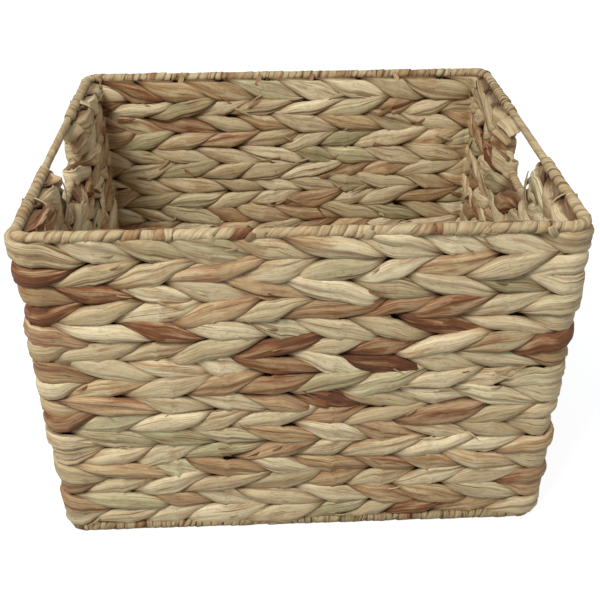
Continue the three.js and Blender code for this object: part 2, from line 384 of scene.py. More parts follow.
def tube(points, along, around, closed):
    """Vertices, face blocks and corner maps of a tube. points is rings x around x 3; along holds
    one more value than rings if the tube is closed; around holds one more than its points."""
    rings, count = points.shape[:2]
    quads, corners = grid_faces(rings, count, closed)
    places = np.stack([along[corners[..., 0]], around[corners[..., 1]]], axis=-1)
    vertices = points.reshape(-1, 3)
    if closed:
        return vertices, [quads], [places]
    middles = points[[0, -1]].mean(axis=1)
    first = len(vertices)
    ring = np.arange(count)
    caps, maps = [], []
    for end, (row, flip) in enumerate([(0, True), (rings - 1, False)]):
        a, b = row * count + ring, row * count + (ring + 1) % count
        centre = np.full(count, first + end)
        order = [centre, b, a] if flip else [centre, a, b]
        caps.append(np.stack(order, axis=1))
        edge = np.full(count, along[row])
        spots = [(edge, np.full(count, around.mean())), (edge, around[1:]), (edge, around[:-1])]
        if not flip:
            spots = [spots[0], spots[2], spots[1]]
        maps.append(np.stack([np.stack(spot, axis=-1) for spot in spots], axis=1))
    return np.vstack([vertices, middles]), [quads, *caps], [places, *maps]


# Materials

# What a leaf's own colour is multiplied by, as stops of (place, colour).
SHADES = [(0.0, (0.74, 0.68, 0.60)), (1.0, (1.17, 1.17, 1.18))]
FIBRE_LINES = [(0.30, (0.66, 0.52, 0.39)), (0.44, (0.98, 0.97, 0.95)), (0.75, (1.10, 1.10, 1.12))]
FOLD_LINES = [(0.29, (0.36, 0.22, 0.13)), (0.37, (0.97, 0.96, 0.94)), (0.8, (1.1, 1.1, 1.1))]
MOTTLES = [(0.28, (0.68, 0.56, 0.44)), (0.46, (1.0, 1.0, 1.0)), (0.7, (1.06, 1.07, 1.06))]
TINGES = [(0.50, 0.0), (0.72, 0.55)]  # how far a leaf turns to rust
LEAF_ROUGHNESS = (0.78, 0.52)  # in the gaps between the fibres, and on them
LEAF_SPECULAR = 0.2
WIRE_RUST = (0.13, 0.06, 0.03)


def add_node(tree, kind, inputs=None, **settings):
    """A node with these settings, and inputs given as values or as sockets to link."""
    node = tree.nodes.new(kind)
    for key, value in settings.items():
        setattr(node, key, value)
    for key, value in (inputs or {}).items():
        socket = node.inputs[key]
        if isinstance(value, bpy.types.NodeSocket):
            tree.links.new(value, socket)
        else:
            socket.default_value = value
    return node


def add_ramp(tree, factor, stops):
    """A colour ramp over stops of (place, colour or grey)."""
    node = add_node(tree, "ShaderNodeValToRGB", {"Fac": factor})
    elements = node.color_ramp.elements
    while len(elements) < len(stops):
        elements.new(0.5)
    for element, (place, colour) in zip(elements, stops):
        element.position = place
        element.color = (colour,) * 3 + (1,) if isinstance(colour, float) else (*colour, 1)
    return node.outputs["Color"]


def math_node(tree, operation, a, b=0.5):
    return add_node(tree, "ShaderNodeMath", {0: a, 1: b}, operation=operation).outputs[0]


def mix_colours(tree, blend, factor, a, b):
    node = add_node(tree, "ShaderNodeMix", data_type="RGBA", blend_type=blend)
    for key, value in ((0, factor), (6, a), (7, b)):
        if isinstance(value, bpy.types.NodeSocket):
            tree.links.new(value, node.inputs[key])
        else:
            node.inputs[key].default_value = value if key == 0 else (*value, 1)
    return node.outputs[2]


def new_group(name, inputs, outputs):
    """A shader node group with named sockets. Returns the tree and its input and output nodes."""
    tree = bpy.data.node_groups.new(name, "ShaderNodeTree")
    for title, kind, default in inputs:
        socket = tree.interface.new_socket(name=title, in_out="INPUT", socket_type=kind)
        if default is not None:
            socket.default_value = default
    for title, kind in outputs:
        tree.interface.new_socket(name=title, in_out="OUTPUT", socket_type=kind)
    return tree, tree.nodes.new("NodeGroupInput"), tree.nodes.new("NodeGroupOutput")


def fibre_group():
    """Fibres that run along a leaf: a fine and a broad streak, their relief, and two changes of
    colour that are wider."""
    tree, given, out = new_group(
        "Leaf fibres",
        [
            ("Place", "NodeSocketVector", None),
            ("Leaf", "NodeSocketFloat", 0.0),
            ("Fine", "NodeSocketFloat", 1600.0),
            ("Broad", "NodeSocketFloat", 420.0),
        ],
        [
            ("Fine streak", "NodeSocketFloat"),
            ("Broad streak", "NodeSocketFloat"),
            ("Tint", "NodeSocketFloat"),
            ("Mottle", "NodeSocketFloat"),
            ("Relief", "NodeSocketFloat"),
        ],
    )
    split = add_node(tree, "ShaderNodeSeparateXYZ", {0: given.outputs["Place"]})
    offset = math_node(tree, "MULTIPLY", given.outputs["Leaf"], 37.0)

    def streak(scale, stretch, detail):
        across = math_node(tree, "MULTIPLY", split.outputs["Y"], scale)
        scaled = math_node(tree, "MULTIPLY", split.outputs["X"], scale)
        along = math_node(tree, "MULTIPLY", scaled, stretch)
        spot = add_node(tree, "ShaderNodeCombineXYZ", {"X": along, "Y": across, "Z": offset})
        return add_node(
            tree,
            "ShaderNodeTexNoise",
            {"Vector": spot.outputs[0], "Scale": 1.0, "Detail": detail, "Roughness": 0.6},
        ).outputs["Fac"]

    fine = streak(given.outputs["Fine"], 0.018, 1.0)
    broad = streak(given.outputs["Broad"], 0.022, 1.5)
    tint = streak(math_node(tree, "MULTIPLY", given.outputs["Broad"], 0.32), 0.12, 3.0)
    mottle = streak(math_node(tree, "MULTIPLY", given.outputs["Broad"], 1.1), 0.3, 3.0)
    relief = math_node(tree, "ADD", math_node(tree, "MULTIPLY", fine, 0.45), broad)
    for key, socket in zip(out.inputs.keys(), (fine, broad, tint, mottle, relief)):
        tree.links.new(socket, out.inputs[key])
    return tree


def leaf_colour_group(colours):
    """Colour of a leaf from its own tone, its fibres and its stains, darkened by painted shade in its
    creases.
    """
    tree, given, out = new_group(
        "Leaf colour",
        [
            ("Tone", "NodeSocketFloat", 0.3),
            ("Shade", "NodeSocketFloat", 0.5),
            ("Fine streak", "NodeSocketFloat", 0.5),
            ("Broad streak", "NodeSocketFloat", 0.5),
            ("Tint", "NodeSocketFloat", 0.5),
            ("Mottle", "NodeSocketFloat", 0.5),
            ("Stain", "NodeSocketFloat", 0.0),
            ("Crease", "NodeSocketFloat", 0.0),
        ],
        [("Color", "NodeSocketColor")],
    )
    value = given.outputs
    wander = math_node(tree, "MULTIPLY", math_node(tree, "SUBTRACT", value["Broad streak"]), 0.35)
    strength = math_node(tree, "ADD", math_node(tree, "MULTIPLY", value["Tone"], 1.3), 0.05)
    drift = math_node(tree, "MULTIPLY", math_node(tree, "SUBTRACT", value["Tint"]), strength)
    tone = math_node(tree, "ADD", math_node(tree, "ADD", value["Tone"], wander), drift)
    palette = add_ramp(
        tree,
        tone,
        [
            (0.0, tuple(colours.olive)),
            (0.16, tuple(colours.straw)),
            (0.42, tuple(colours.straw)),
            (0.60, tuple(colours.tan)),
            (0.74, tuple(colours.rose)),
            (0.88, tuple(colours.rust)),
            (1.0, tuple(colours.chestnut)),
        ],
    )
    shade = add_ramp(tree, value["Shade"], SHADES)
    shaded = mix_colours(tree, "MULTIPLY", 1.0, palette, shade)
    lines = add_ramp(tree, value["Fine streak"], FIBRE_LINES)
    lined = mix_colours(tree, "MULTIPLY", 0.85, shaded, lines)
    folds = add_ramp(tree, value["Broad streak"], FOLD_LINES)
    mottled = mix_colours(tree, "MULTIPLY", 0.8, lined, add_ramp(tree, value["Mottle"], MOTTLES))
    folded = mix_colours(tree, "MULTIPLY", 0.85, mottled, folds)
    rusty = mix_colours(tree, "MULTIPLY", 1.0, lines, colours.rust)
    tinged = mix_colours(tree, "MIX", add_ramp(tree, value["Tint"], TINGES), folded, rusty)
    stained = mix_colours(tree, "MIX", value["Stain"], tinged, colours.rust)
    # Multiplies in the dark colour: painted shade in creases, at leaf tips and under overlapping edges,
    # and dry brown leaf edges
    shaded_and_dirtied = mix_colours(tree, "MULTIPLY", value["Crease"], stained, colours.crease)
    tree.links.new(shaded_and_dirtied, out.inputs["Color"])
    return tree


def stain_group():
    """Mask of brown and dusty patches that lie across neighbouring leaves."""
    tree, given, out = new_group(
        "Leaf stains",
        [
            ("Place", "NodeSocketVector", None),
            ("Scale", "NodeSocketFloat", 40.0),
            ("Amount", "NodeSocketFloat", 0.3),
        ],
        [("Mask", "NodeSocketFloat")],
    )
    noise = add_node(
        tree,
        "ShaderNodeTexNoise",
        {
            "Vector": given.outputs["Place"],
            "Scale": given.outputs["Scale"],
            "Detail": 4.0,
            "Roughness": 0.62,
        },
    ).outputs["Fac"]
    edge = add_node(
        tree,
        "ShaderNodeMapRange",
        {"Value": noise, "From Min": 0.60, "From Max": 0.76, "To Min": 0.0, "To Max": 1.0},
    ).outputs[0]
    tree.links.new(math_node(tree, "MULTIPLY", edge, given.outputs["Amount"]), out.inputs["Mask"])
    return tree


def seam_group():
    """Mask of the dark lines along the two edges of a strand, broken up along the way: dry brown leaf
    edges, and painted shade where one leaf lies over the next.
    """
    tree, given, out = new_group(
        "Strand seams",
        [("Place", "NodeSocketVector", None), ("Amount", "NodeSocketFloat", 1.0)],
        [("Mask", "NodeSocketFloat")],
    )
    split = add_node(tree, "ShaderNodeSeparateXYZ", {0: given.outputs["Place"]})
    half_girth = Strand.GIRTH / 2
    wrapped = math_node(tree, "MODULO", split.outputs["Y"], half_girth)
    away = math_node(tree, "ABSOLUTE", math_node(tree, "SUBTRACT", wrapped, half_girth / 2))
    noise = add_node(
        tree, "ShaderNodeTexNoise", {"Vector": given.outputs["Place"], "Scale": 90.0, "Detail": 2.0}
    ).outputs["Fac"]
    width = add_node(
        tree,
        "ShaderNodeMapRange",
        {"Value": noise, "From Min": 0.35, "From Max": 0.7, "To Min": 1.4 * MM, "To Max": 4.2 * MM},
    ).outputs[0]
    near = math_node(tree, "SUBTRACT", 1.0, math_node(tree, "DIVIDE", away, width))
    mask = math_node(tree, "MULTIPLY", math_node(tree, "MAXIMUM", near, 0.0), given.outputs["Amount"])
    tree.links.new(math_node(tree, "MINIMUM", mask, 0.75), out.inputs["Mask"])
    return tree


def leaf_material(name, groups, fine=1700.0, broad=620.0, seam=1.0, stain=0.35, relief=0.3 * MM):
    """Dry leaf with fibres along the strand, tones that differ from leaf to leaf, and stains, with
    painted shade in its creases and along its edges.

    fine and broad are fibres per metre, seam and stain are shares, and relief is a depth."""
    material = bpy.data.materials.new(name)
    material.use_nodes = True
    tree = material.node_tree
    shader = tree.nodes["Principled BSDF"]
    place = add_node(tree, "ShaderNodeUVMap", uv_map=STRAND_MAP).outputs["UV"]
    values = {
        key: add_node(tree, "ShaderNodeAttribute", attribute_name=key).outputs["Fac"]
        for key in ("tone", "shade", "crease", "leaf")
    }
    fibres = add_node(
        tree,
        "ShaderNodeGroup",
        {"Place": place, "Leaf": values["leaf"], "Fine": fine, "Broad": broad},
        node_tree=groups["fibres"],
    )
    position = add_node(tree, "ShaderNodeTexCoord").outputs["Object"]
    stains = add_node(
        tree,
        "ShaderNodeGroup",
        {"Place": position, "Scale": 38.0, "Amount": stain},
        node_tree=groups["stains"],
    )
    seams = add_node(
        tree,
        "ShaderNodeGroup",
        {"Place": place, "Amount": seam},
        node_tree=groups["seams"],
    )
    colour = add_node(
        tree,
        "ShaderNodeGroup",
        {
            "Tone": values["tone"],
            "Shade": values["shade"],
            **{key: fibres.outputs[key] for key in ("Fine streak", "Broad streak", "Tint", "Mottle")},
            "Stain": stains.outputs["Mask"],
            "Crease": math_node(tree, "MAXIMUM", values["crease"], seams.outputs["Mask"]),
        },
        node_tree=groups["colour"],
    )
    rough = add_node(
        tree,
        "ShaderNodeMapRange",
        {
            "Value": fibres.outputs["Fine streak"],
            "From Min": 0.3,
            "From Max": 0.7,
            "To Min": LEAF_ROUGHNESS[0],
            "To Max": LEAF_ROUGHNESS[1],
        },
    )
    bump = add_node(
        tree,
        "ShaderNodeBump",
        {"Strength": 0.75, "Distance": relief, "Height": fibres.outputs["Relief"]},
    )
    tree.links.new(colour.outputs["Color"], shader.inputs["Base Color"])
    tree.links.new(rough.outputs[0], shader.inputs["Roughness"])
    tree.links.new(bump.outputs["Normal"], shader.inputs["Normal"])
    shader.inputs["Specular IOR Level"].default_value = LEAF_SPECULAR
    return material


def wire_material(colours):
    """Painted wire with a little rust where the paint is thin."""
    material = bpy.data.materials.new("Painted wire")
    material.use_nodes = True
    tree = material.node_tree
    shader = tree.nodes["Principled BSDF"]
    position = add_node(tree, "ShaderNodeTexCoord").outputs["Object"]
    noise = add_node(
        tree, "ShaderNodeTexNoise", {"Vector": position, "Scale": 260.0, "Detail": 5.0}
    ).outputs["Fac"]
    colour = add_ramp(tree, noise, [(0.42, tuple(colours.wire)), (0.72, WIRE_RUST)])
    rough = add_ramp(tree, noise, [(0.35, 0.38), (0.75, 0.8)])
    bump = add_node(tree, "ShaderNodeBump", {"Strength": 0.3, "Distance": 0.1 * MM, "Height": noise})
    tree.links.new(colour, shader.inputs["Base Color"])
    tree.links.new(rough, shader.inputs["Roughness"])
    tree.links.new(bump.outputs["Normal"], shader.inputs["Normal"])
    return material


def seen_as_white(tree):
    """1 for rays from the camera, a reflection or glass, which see a white background."""
    ray = add_node(tree, "ShaderNodeLightPath").outputs
    mirrored = math_node(tree, "MAXIMUM", ray["Is Glossy Ray"], ray["Is Transmission Ray"])
    return math_node(tree, "MAXIMUM", ray["Is Camera Ray"], mirrored)


def finishes():
    """Every material, made once."""
    if "Twined leaf" not in bpy.data.materials:
        colours = bpy.context.scene.basket_colours
        groups = {
            "fibres": fibre_group(),
            "stains": stain_group(),
            "seams": seam_group(),
            "colour": leaf_colour_group(colours),
        }
        leaf_material("Twined leaf", groups)
        binding = {"fine": 1300.0, "broad": 450.0, "seam": 0.0, "stain": 0.2, "relief": 0.15 * MM}
        leaf_material("Binding leaf", groups, **binding)
        leaf_material("Floor leaf", groups, stain=0.5)
        wire_material(colours)
    return bpy.data.materials


# The walls' middle line


class WallLine:
    """The middle line of the walls, walked counter-clockwise from the middle of the left wall.

    A spot has its distance along the line, its distance outwards from it, and its height. marks
    are the places along the line where flats and bends meet: the front wall goes from mark 2 to
    mark 3, the right one from 4 to 5, the back one from 6 to 7, and the left one from 8 round
    to 1."""

    def __init__(self, inset, corner):
        half_x, half_y = half_extents((BASE_Z + RIM_Z) / 2)
        self.inset, self.corner = inset, corner
        flat_x, flat_y = half_x - inset - corner, half_y - inset - corner
        bend = math.pi / 2 * corner
        steps = [flat_y, bend, 2 * flat_x, bend, 2 * flat_y, bend, 2 * flat_x, bend, flat_y]
        self.marks = np.concatenate([[0.0], np.cumsum(steps)])
        self.length = self.marks[-1]
        self.side_x = np.array([-1, -1, -1, 1, 1, 1, 1, -1, -1, -1.0])
        self.side_y = np.array([0, -1, -1, -1, -1, 1, 1, 1, 1, 0.0])
        quarter = math.pi / 2
        self.turn = np.array([2, 2, 3, 3, 4, 4, 5, 5, 6, 6.0]) * quarter
        self.front_middle = self.marks[2] + flat_x
        self.right_middle = self.marks[4] + flat_y
        self.back_middle = self.marks[6] + flat_x
        self.left_middle = self.marks[8] + flat_y

    def spot(self, along, out, z):
        """Points in the row frame."""
        along = np.mod(along, self.length)
        turn = np.interp(along, self.marks, self.turn)
        x, y = (np.interp(along, self.marks, side) for side in (self.side_x, self.side_y))
        half_x, half_y = half_extents(z)
        radius = np.maximum(self.corner + out, INNER_CORNER)
        reach = out - self.inset - radius
        return np.stack(
            [
                x * (half_x + reach) + np.cos(turn) * radius,
                y * (half_y + reach) + np.sin(turn) * radius,
                np.broadcast_to(z, np.shape(x * half_x)),
            ],
            axis=-1,
        )

    def uprights(self):
        """Where the uprights stand along the line, corner posts among them, and the posts alone."""
        sides = [middle(f"left_upright_{n}", 1) for n in range(1, SIDE_UPRIGHTS + 1)]
        fronts = cross_wire_places()
        posts = (self.marks[[1, 3, 5, 7]] + self.marks[[2, 4, 6, 8]]) / 2
        middle_one = 1e-6  # the upright at the middle of the left wall counts as in its front half
        left_start = sorted(max(-y, 0.0) for y in sides if y < middle_one)
        front = [self.front_middle + x for x in fronts]
        right = [self.right_middle + y for y in sides]
        back = [self.back_middle + x for x in fronts]
        left_end = [self.left_middle - y for y in sorted(sides, reverse=True) if y > middle_one]
        walls = (left_start, posts[:1], front, posts[1:2], right, posts[2:3], back, posts[3:], left_end)
        return np.concatenate(walls), posts


# Twined strands


def smooth(x):
    x = np.clip(x, 0, 1)
    return x * x * (3 - 2 * x)


class Strand:
    """One strand of a twined pair: a flattened tube that changes sides between the uprights.

    turn counts half turns of the pair: the strand is outside at even turns, inside at odd ones.
    A leaf shows from one crossing to the next, so leaf n lies around turn n, and its tips dive
    in below the leaves before and after it."""

    POINTS = 36
    STEPS = 12  # rings for each half turn
    GIRTH = 44 * MM
    OVERLAP = 0.09  # of a half height, where two leaves meet
    SLIM_SHARE = 0.12  # of the leaves
    SLIM = 0.86  # how high a slim leaf is beside the others
    LOWEST = 0.83  # of the half height, below which no leaf gets
    THINNEST = 0.9  # of the reach
    PLUMP = 3.0  # 2 is an oval section, more is fuller
    FOLDS = 4  # along each leaf
    DEEPEST_FOLD = 1.15 * MM
    FOLD_WIDTH = 0.10  # radians round the section
    RIPPLES = (5, 7, 9, 12)  # waves round the section
    RIPPLE_DEPTH = 0.025 * MM

    def __init__(self, rng, leaves, half_height, weave):
        self.leaves, self.half_height = leaves, half_height
        t = np.arange(self.POINTS) / self.POINTS * 2 * np.pi
        self.angles = t - 0.22 * np.sin(2 * t)  # closer together in the middle of both faces
        self.facing_out = smooth((np.cos(self.angles) + 0.2) / 0.4)[None, :]
        uneven = weave.unevenness

        def around_one(spread):
            return 1 + spread * uneven * np.clip(rng.standard_normal(leaves), -2, 2)

        self.high, self.low, self.crown = around_one(0.08), around_one(0.08), around_one(0.1)
        slim = np.where(rng.random(leaves) < self.SLIM_SHARE, self.SLIM, 1.0)
        self.high = np.maximum(self.high * slim, self.LOWEST)
        self.low = np.maximum(self.low * slim, self.LOWEST)
        self.belly = weave.belly * around_one(0.5)
        self.tilt = 0.07 * uneven * np.clip(rng.standard_normal(leaves), -2, 2)
        self.fall = weave.tip_fall * around_one(0.16)
        self.plump = self.PLUMP * around_one(0.16)
        folds = (leaves, self.FOLDS)
        self.folds = rng.uniform(-1.1, 1.1, folds)
        self.fold_depth = rng.uniform(0, 1, folds) ** 2.4 * self.DEEPEST_FOLD
        self.fold_lean = rng.uniform(-0.3, 0.3, folds)
        self.ripple = rng.uniform(0, 2 * np.pi, (leaves, len(self.RIPPLES)))
        self.tone, self.shade = leaf_tones(rng, leaves)
        self.leaf = rng.random(leaves)

    def between_leaves(self, values, turn):
        """A value of each leaf, which goes over to the next leaf's at the crossing."""
        nearest = np.round(turn).astype(int)
        offset = turn - nearest
        following = nearest + np.where(offset > 0, 1, -1)
        weight = 0.5 * smooth((np.abs(offset) - 0.1) / 0.4)
        return values[nearest % self.leaves] * (1 - weight) + values[following % self.leaves] * weight

    def own_leaves(self, turn):
        """For each ring, the leaf that shows outside and the one that shows inside, and how far
        along each the ring is, from -1 to 1."""
        outside = 2 * np.round(turn / 2).astype(int)
        inside = 2 * np.round((turn - 1) / 2).astype(int) + 1
        return (outside % self.leaves, turn - outside), (inside % self.leaves, turn - inside)

    def both_faces(self, outer, inner):
        """Values for each point of each ring, from one for its outside and one for its inside."""
        return outer[:, None] * self.facing_out + inner[:, None] * (1 - self.facing_out)

    def each_side(self, values, turn):
        """A value of each leaf, for each point of each ring: outside faces and inside faces."""
        (outside, _), (inside, _) = self.own_leaves(turn)
        return self.both_faces(values[outside], values[inside])

    def sections(self, turn, lean, room, shift, reach, sway, squeeze):
        """Out and up offsets of the points of each ring.

        lean is 1 where leaves fall to the right, seen from outside. room is what the upright
        takes, shift how far it stands off the line, and reach how far out the face is. sway
        lifts the place where the strands cross, and squeeze makes a section lower."""
        (outside, out_way), (inside, in_way) = self.own_leaves(turn)
        depth = reach + room
        front = reach * self.crown[outside] - depth * np.abs(out_way) ** self.fall[outside]
        back = -(reach * self.crown[inside] - depth * np.abs(in_way) ** self.fall[inside])
        thick = np.maximum(front - back, self.THINNEST * reach)
        front, back = (front + back + thick) / 2, (front + back - thick) / 2
        power = 2 / self.between_leaves(self.plump, turn)[:, None]
        e_out, e_up = np.cos(self.angles)[None, :], np.sin(self.angles)[None, :]
        e_out = np.sign(e_out) * np.abs(e_out) ** power
        e_up = np.sign(e_up) * np.abs(e_up) ** power
        half = self.half_height * squeeze
        outer = self.outline(outside, out_way, lean, half)
        inner = self.outline(inside, in_way, -lean, half)
        share = smooth((e_out + 0.4) / 0.8)
        top, bottom = (share * a[:, None] + (1 - share) * b[:, None] for a, b in zip(outer, inner))
        relief = self.relief(turn) + self.ripples(turn)
        out = (shift + (front + back) / 2)[:, None] + ((front - back)[:, None] / 2 - relief) * e_out
        up = (top + bottom) / 2 + sway[:, None] + ((top - bottom) / 2 - 0.4 * relief) * e_up
        return out, up

    def outline(self, leaf, way, lean, half):
        """Top and bottom of a leaf, way from -1 at its first tip to 1 at its last. It lies
        aslant: one edge keeps to the course's own edge up to the middle, then falls across it
        to the other tip, where the next leaf lies over it."""
        way = way * lean
        far = np.abs(way)
        flat = 1 + self.belly[leaf] * np.sin(far * np.pi) ** 1.5 + self.tilt[leaf] * far
        fallen = 0.25 * far + 0.75 * smooth(far) ** 1.2
        high, low, end = self.high[leaf], self.low[leaf], 1 - 2 * self.OVERLAP
        top = np.where(way > 0, high - (high + end) * fallen, flat * high)
        bottom = np.where(way < 0, (low + end) * fallen - low, -flat * low)
        return half * np.maximum(top, bottom + 0.2), half * bottom

    def relief(self, turn):
        """Depth of the folds that run along a leaf from tip to tip."""
        depth = np.zeros((len(turn), self.POINTS))
        for (leaf, offset), side in zip(self.own_leaves(turn), (0.0, np.pi)):
            fade = (1 - 0.6 * np.abs(offset) ** 2)[:, None]
            for n in range(self.FOLDS):
                line = side + self.folds[leaf, n] + self.fold_lean[leaf, n] * offset
                away = np.angle(np.exp(1j * (self.angles[None, :] - line[:, None])))
                depth += self.fold_depth[leaf, n, None] * np.exp(-((away / self.FOLD_WIDTH) ** 2)) * fade
        return depth

    def ripples(self, turn):
        return sum(
            self.RIPPLE_DEPTH * np.cos(count * self.angles[None, :] + self.each_side(phase, turn))
            for count, phase in zip(self.RIPPLES, self.ripple.T)
        )

    def values(self, turn):
        """Values of each point of each ring, for the material, with painted shade towards the tips,
        along the top and bottom edges and in the folds.
        """
        edge = np.abs(np.sin(self.angles))[None, :] ** 10
        (_, out), (_, within) = self.own_leaves(turn)
        offset = self.both_faces(np.abs(out), np.abs(within))
        # Painted shade: darker where a leaf's tips dive in under its neighbours, along the section's top
        # and bottom edges, and in the folds
        crease = 0.9 * smooth((offset - 0.5) / 0.4) + 0.6 * edge + 0.5 * self.relief(turn) / MM
        return {
            "tone": self.each_side(self.tone, turn) + 0.10 * offset**2,
            # The shade falls off towards the tips: painted shade where they dive in
            "shade": self.each_side(self.shade, turn) - 0.5 * offset**2,
            "crease": np.clip(crease, 0, 0.9),
            "leaf": self.each_side(self.leaf, turn),
        }


def leaf_tones(rng, count):
    """Tone and shade of each leaf: mostly straw, some tan, rose or olive, a few rust."""
    kind = rng.random(count)
    straw, tan = rng.uniform(0.2, 0.46, count), rng.uniform(0.46, 0.66, count)
    olive, rose = rng.uniform(0.02, 0.16, count), rng.uniform(0.63, 0.77, count)
    tone = np.select([kind < 0.49, kind < 0.68, kind < 0.88], [straw, tan, olive], rose)
    tone = np.where(rng.random(count) < 0.035, rng.uniform(0.82, 0.98, count), tone)
    return tone, rng.uniform(0.1, 0.95, count)


def ring_lengths(points, closed):
    """Distance along a tube up to each ring, from the middles of its rings."""
    middles = points.mean(axis=1)
    ends = np.vstack([middles, middles[:1]]) if closed else middles
    return np.concatenate([[0.0], np.cumsum(np.linalg.norm(np.diff(ends, axis=0), axis=1))])


def closed_tube(points, girth, values):
    """A tube closed in itself, with its strand map: vertices, faces, corner map and values."""
    lengths = ring_lengths(points, True)
    around = np.linspace(0, girth, points.shape[1] + 1)
    vertices, faces, maps = tube(points, lengths, around, True)
    return vertices, faces, maps, {key: v.ravel() for key, v in values.items()}


def joined(parts):
    """Several tubes as the parts of one mesh."""
    vertices, faces, maps, values, first = [], [], [], {}, 0
    for points, blocks, corner_maps, part_values in parts:
        vertices.append(points)
        faces += [block + first for block in blocks]
        maps += corner_maps
        for key, per_point in part_values.items():
            values.setdefault(key, []).append(per_point)
        first += len(points)
    return np.vstack(vertices), faces, maps, {key: np.concatenate(v) for key, v in values.items()}


def crossings(rng, stands, following, spread):
    """Where the strands cross between the uprights: near the middle, never quite."""
    jitter = np.clip(rng.standard_normal(len(stands)), -1.8, 1.8) * JITTER * spread
    return (stands + following) / 2 + jitter


def wobble(rng, size):
    """A smooth, small change of height along a course, as a function of the share of its way."""
    parts = [(n, rng.uniform(0, 2 * np.pi), rng.uniform(0.4, 1) * size / n**0.5) for n in (2, 5, 9, 17)]
    return lambda share: sum(a * np.sin(2 * np.pi * n * share + p) for n, p, a in parts)


class Pair:
    """A pair of strands twined round uprights that stand along a line.

    place turns (along, out, up) into points of the row frame."""

    SWAY = 1.5 * MM
    HOOK = 16 * MM  # over which a strand closes in on the wire that it turns back round
    HOOKED_ROOM = 0.14  # what the room gains there, as a share of the reach
    HOOKED_REACH = 0.42  # what the reach loses there, as a share
    HOOKED_HEIGHT = 0.14  # what the height loses there, as a share

    def __init__(self, rng, weave, lean, half_height, reach, room, place):
        self.rng, self.weave, self.lean, self.half_height = rng, weave, lean, half_height
        self.reach, self.room, self.place = reach, room, place

    def rings(self, strand, turn, along, shift, sway, hooked):
        """Places of the points of each ring. hooked goes up to 1 where the strand turns back."""
        room = self.room + self.HOOKED_ROOM * self.reach * hooked
        reach = self.reach * (1 - self.HOOKED_REACH * hooked)
        squeeze = 1 - self.HOOKED_HEIGHT * hooked
        out, up = strand.sections(turn, self.lean, room, shift, reach, sway, squeeze)
        return np.broadcast_to(along[:, None], out.shape), out, up

    def sways(self, turn, count):
        """Lift of the crossings along the whole course, which both strands share."""
        lifts = self.SWAY * self.weave.unevenness * np.clip(self.rng.standard_normal(count), -1.1, 1.1)
        return lifts[np.floor(turn).astype(int) % count] * np.sin(turn * np.pi) ** 2

    def round_all(self, stands, length, shift, marked):
        """Two strands, each closed in itself, round an even number of uprights on a closed line."""
        count = len(stands)
        following = np.append(stands[1:], stands[0] + length)
        between = crossings(self.rng, stands, following, self.weave.unevenness)
        marks = np.concatenate([[between[-1] - length], between, [between[0] + length]])
        turn = np.arange(count * Strand.STEPS) / Strand.STEPS
        along = np.interp(turn, np.arange(-0.5, count + 1), marks)
        sway = self.sways(turn, count)
        parts = []
        for start in (0, 1):
            strand = Strand(self.rng, count, self.half_height, self.weave)
            marked(strand, stands, start)
            spots = self.rings(strand, turn + start, along, shift(along), sway, 0.0)
            parts.append(closed_tube(self.place(*spots), strand.GIRTH, strand.values(turn + start)))
        return parts

    def there_and_back(self, stands, shift, marked, pivot, squash):
        """One strand that goes along the uprights, turns back round the last and returns, closed
        round the first. pivot is how far off the line it turns round the end wires, and squash
        how round it turns."""
        count = len(stands)
        between = crossings(self.rng, stands[:-1], stands[1:], self.weave.unevenness)
        marks = np.concatenate([stands[:1], between, stands[-1:]])
        mark_turns = np.concatenate([[0.0], np.arange(0.5, count - 1), [count - 1.0]])
        strand = Strand(self.rng, 2 * count + 2, self.half_height, self.weave)
        home = count if count % 2 else count + 1
        for values in (strand.tone, strand.shade, strand.leaf):
            values[home], values[home + count - 1] = values[0], values[count - 1]
        marked(strand, stands, 0)
        marked(strand, stands, home)
        turn = np.arange((count - 1) * strand.STEPS + 1) / strand.STEPS
        turn_home = turn + home
        along = np.interp(turn, mark_turns, marks)
        sway = self.sways(turn, count)
        ends = np.minimum(np.abs(along - stands[0]), np.abs(along - stands[-1]))
        hooked = 1 - smooth(ends / self.HOOK)
        shifts = shift(along) + pivot * hooked
        mirror = (strand.POINTS // 2 - np.arange(strand.POINTS)) % strand.POINTS
        going = [self.rings(strand, turn, along, shifts, sway, hooked), strand.values(turn)]
        coming = [self.rings(strand, turn_home, along, shifts, sway, hooked), strand.values(turn_home)]
        coming = [
            tuple(spot[::-1, mirror] for spot in coming[0]),
            {key: v[::-1, mirror] for key, v in coming[1].items()},
        ]
        far = self.turn_back(going, coming, 1, pivot, squash)
        near = self.turn_back(coming, going, -1, pivot, squash)
        order = (going, far, coming, near)
        spots = [np.concatenate([piece[0][n] for piece in order]) for n in range(3)]
        values = {key: np.concatenate([piece[1][key] for piece in order]) for key in going[1]}
        return [closed_tube(self.place(*spots), strand.GIRTH, values)]

    def turn_back(self, before, after, side, pivot, squash):
        """Rings that swing a strand round the end wire, from its last ring to its next."""
        steps = 7
        share = (np.arange(steps) + 1)[:, None] / (steps + 1)
        angle = share * np.pi
        along_a, out_a, up_a = (spot[-1] for spot in before[0])
        _, out_b, up_b = (spot[0] for spot in after[0])
        arm = (1 - share) * (out_a - pivot)[None, :] - share * (out_b - pivot)[None, :]
        along = along_a[None, :] + side * squash * np.abs(arm) * np.sin(angle)
        out = pivot + arm * np.cos(angle)
        up = (1 - share) * up_a[None, :] + share * up_b[None, :]
        values = {
            key: (1 - share) * before[1][key][-1][None, :] + share * after[1][key][0][None, :]
            for key in before[1]
        }
        return (along, out, up), values


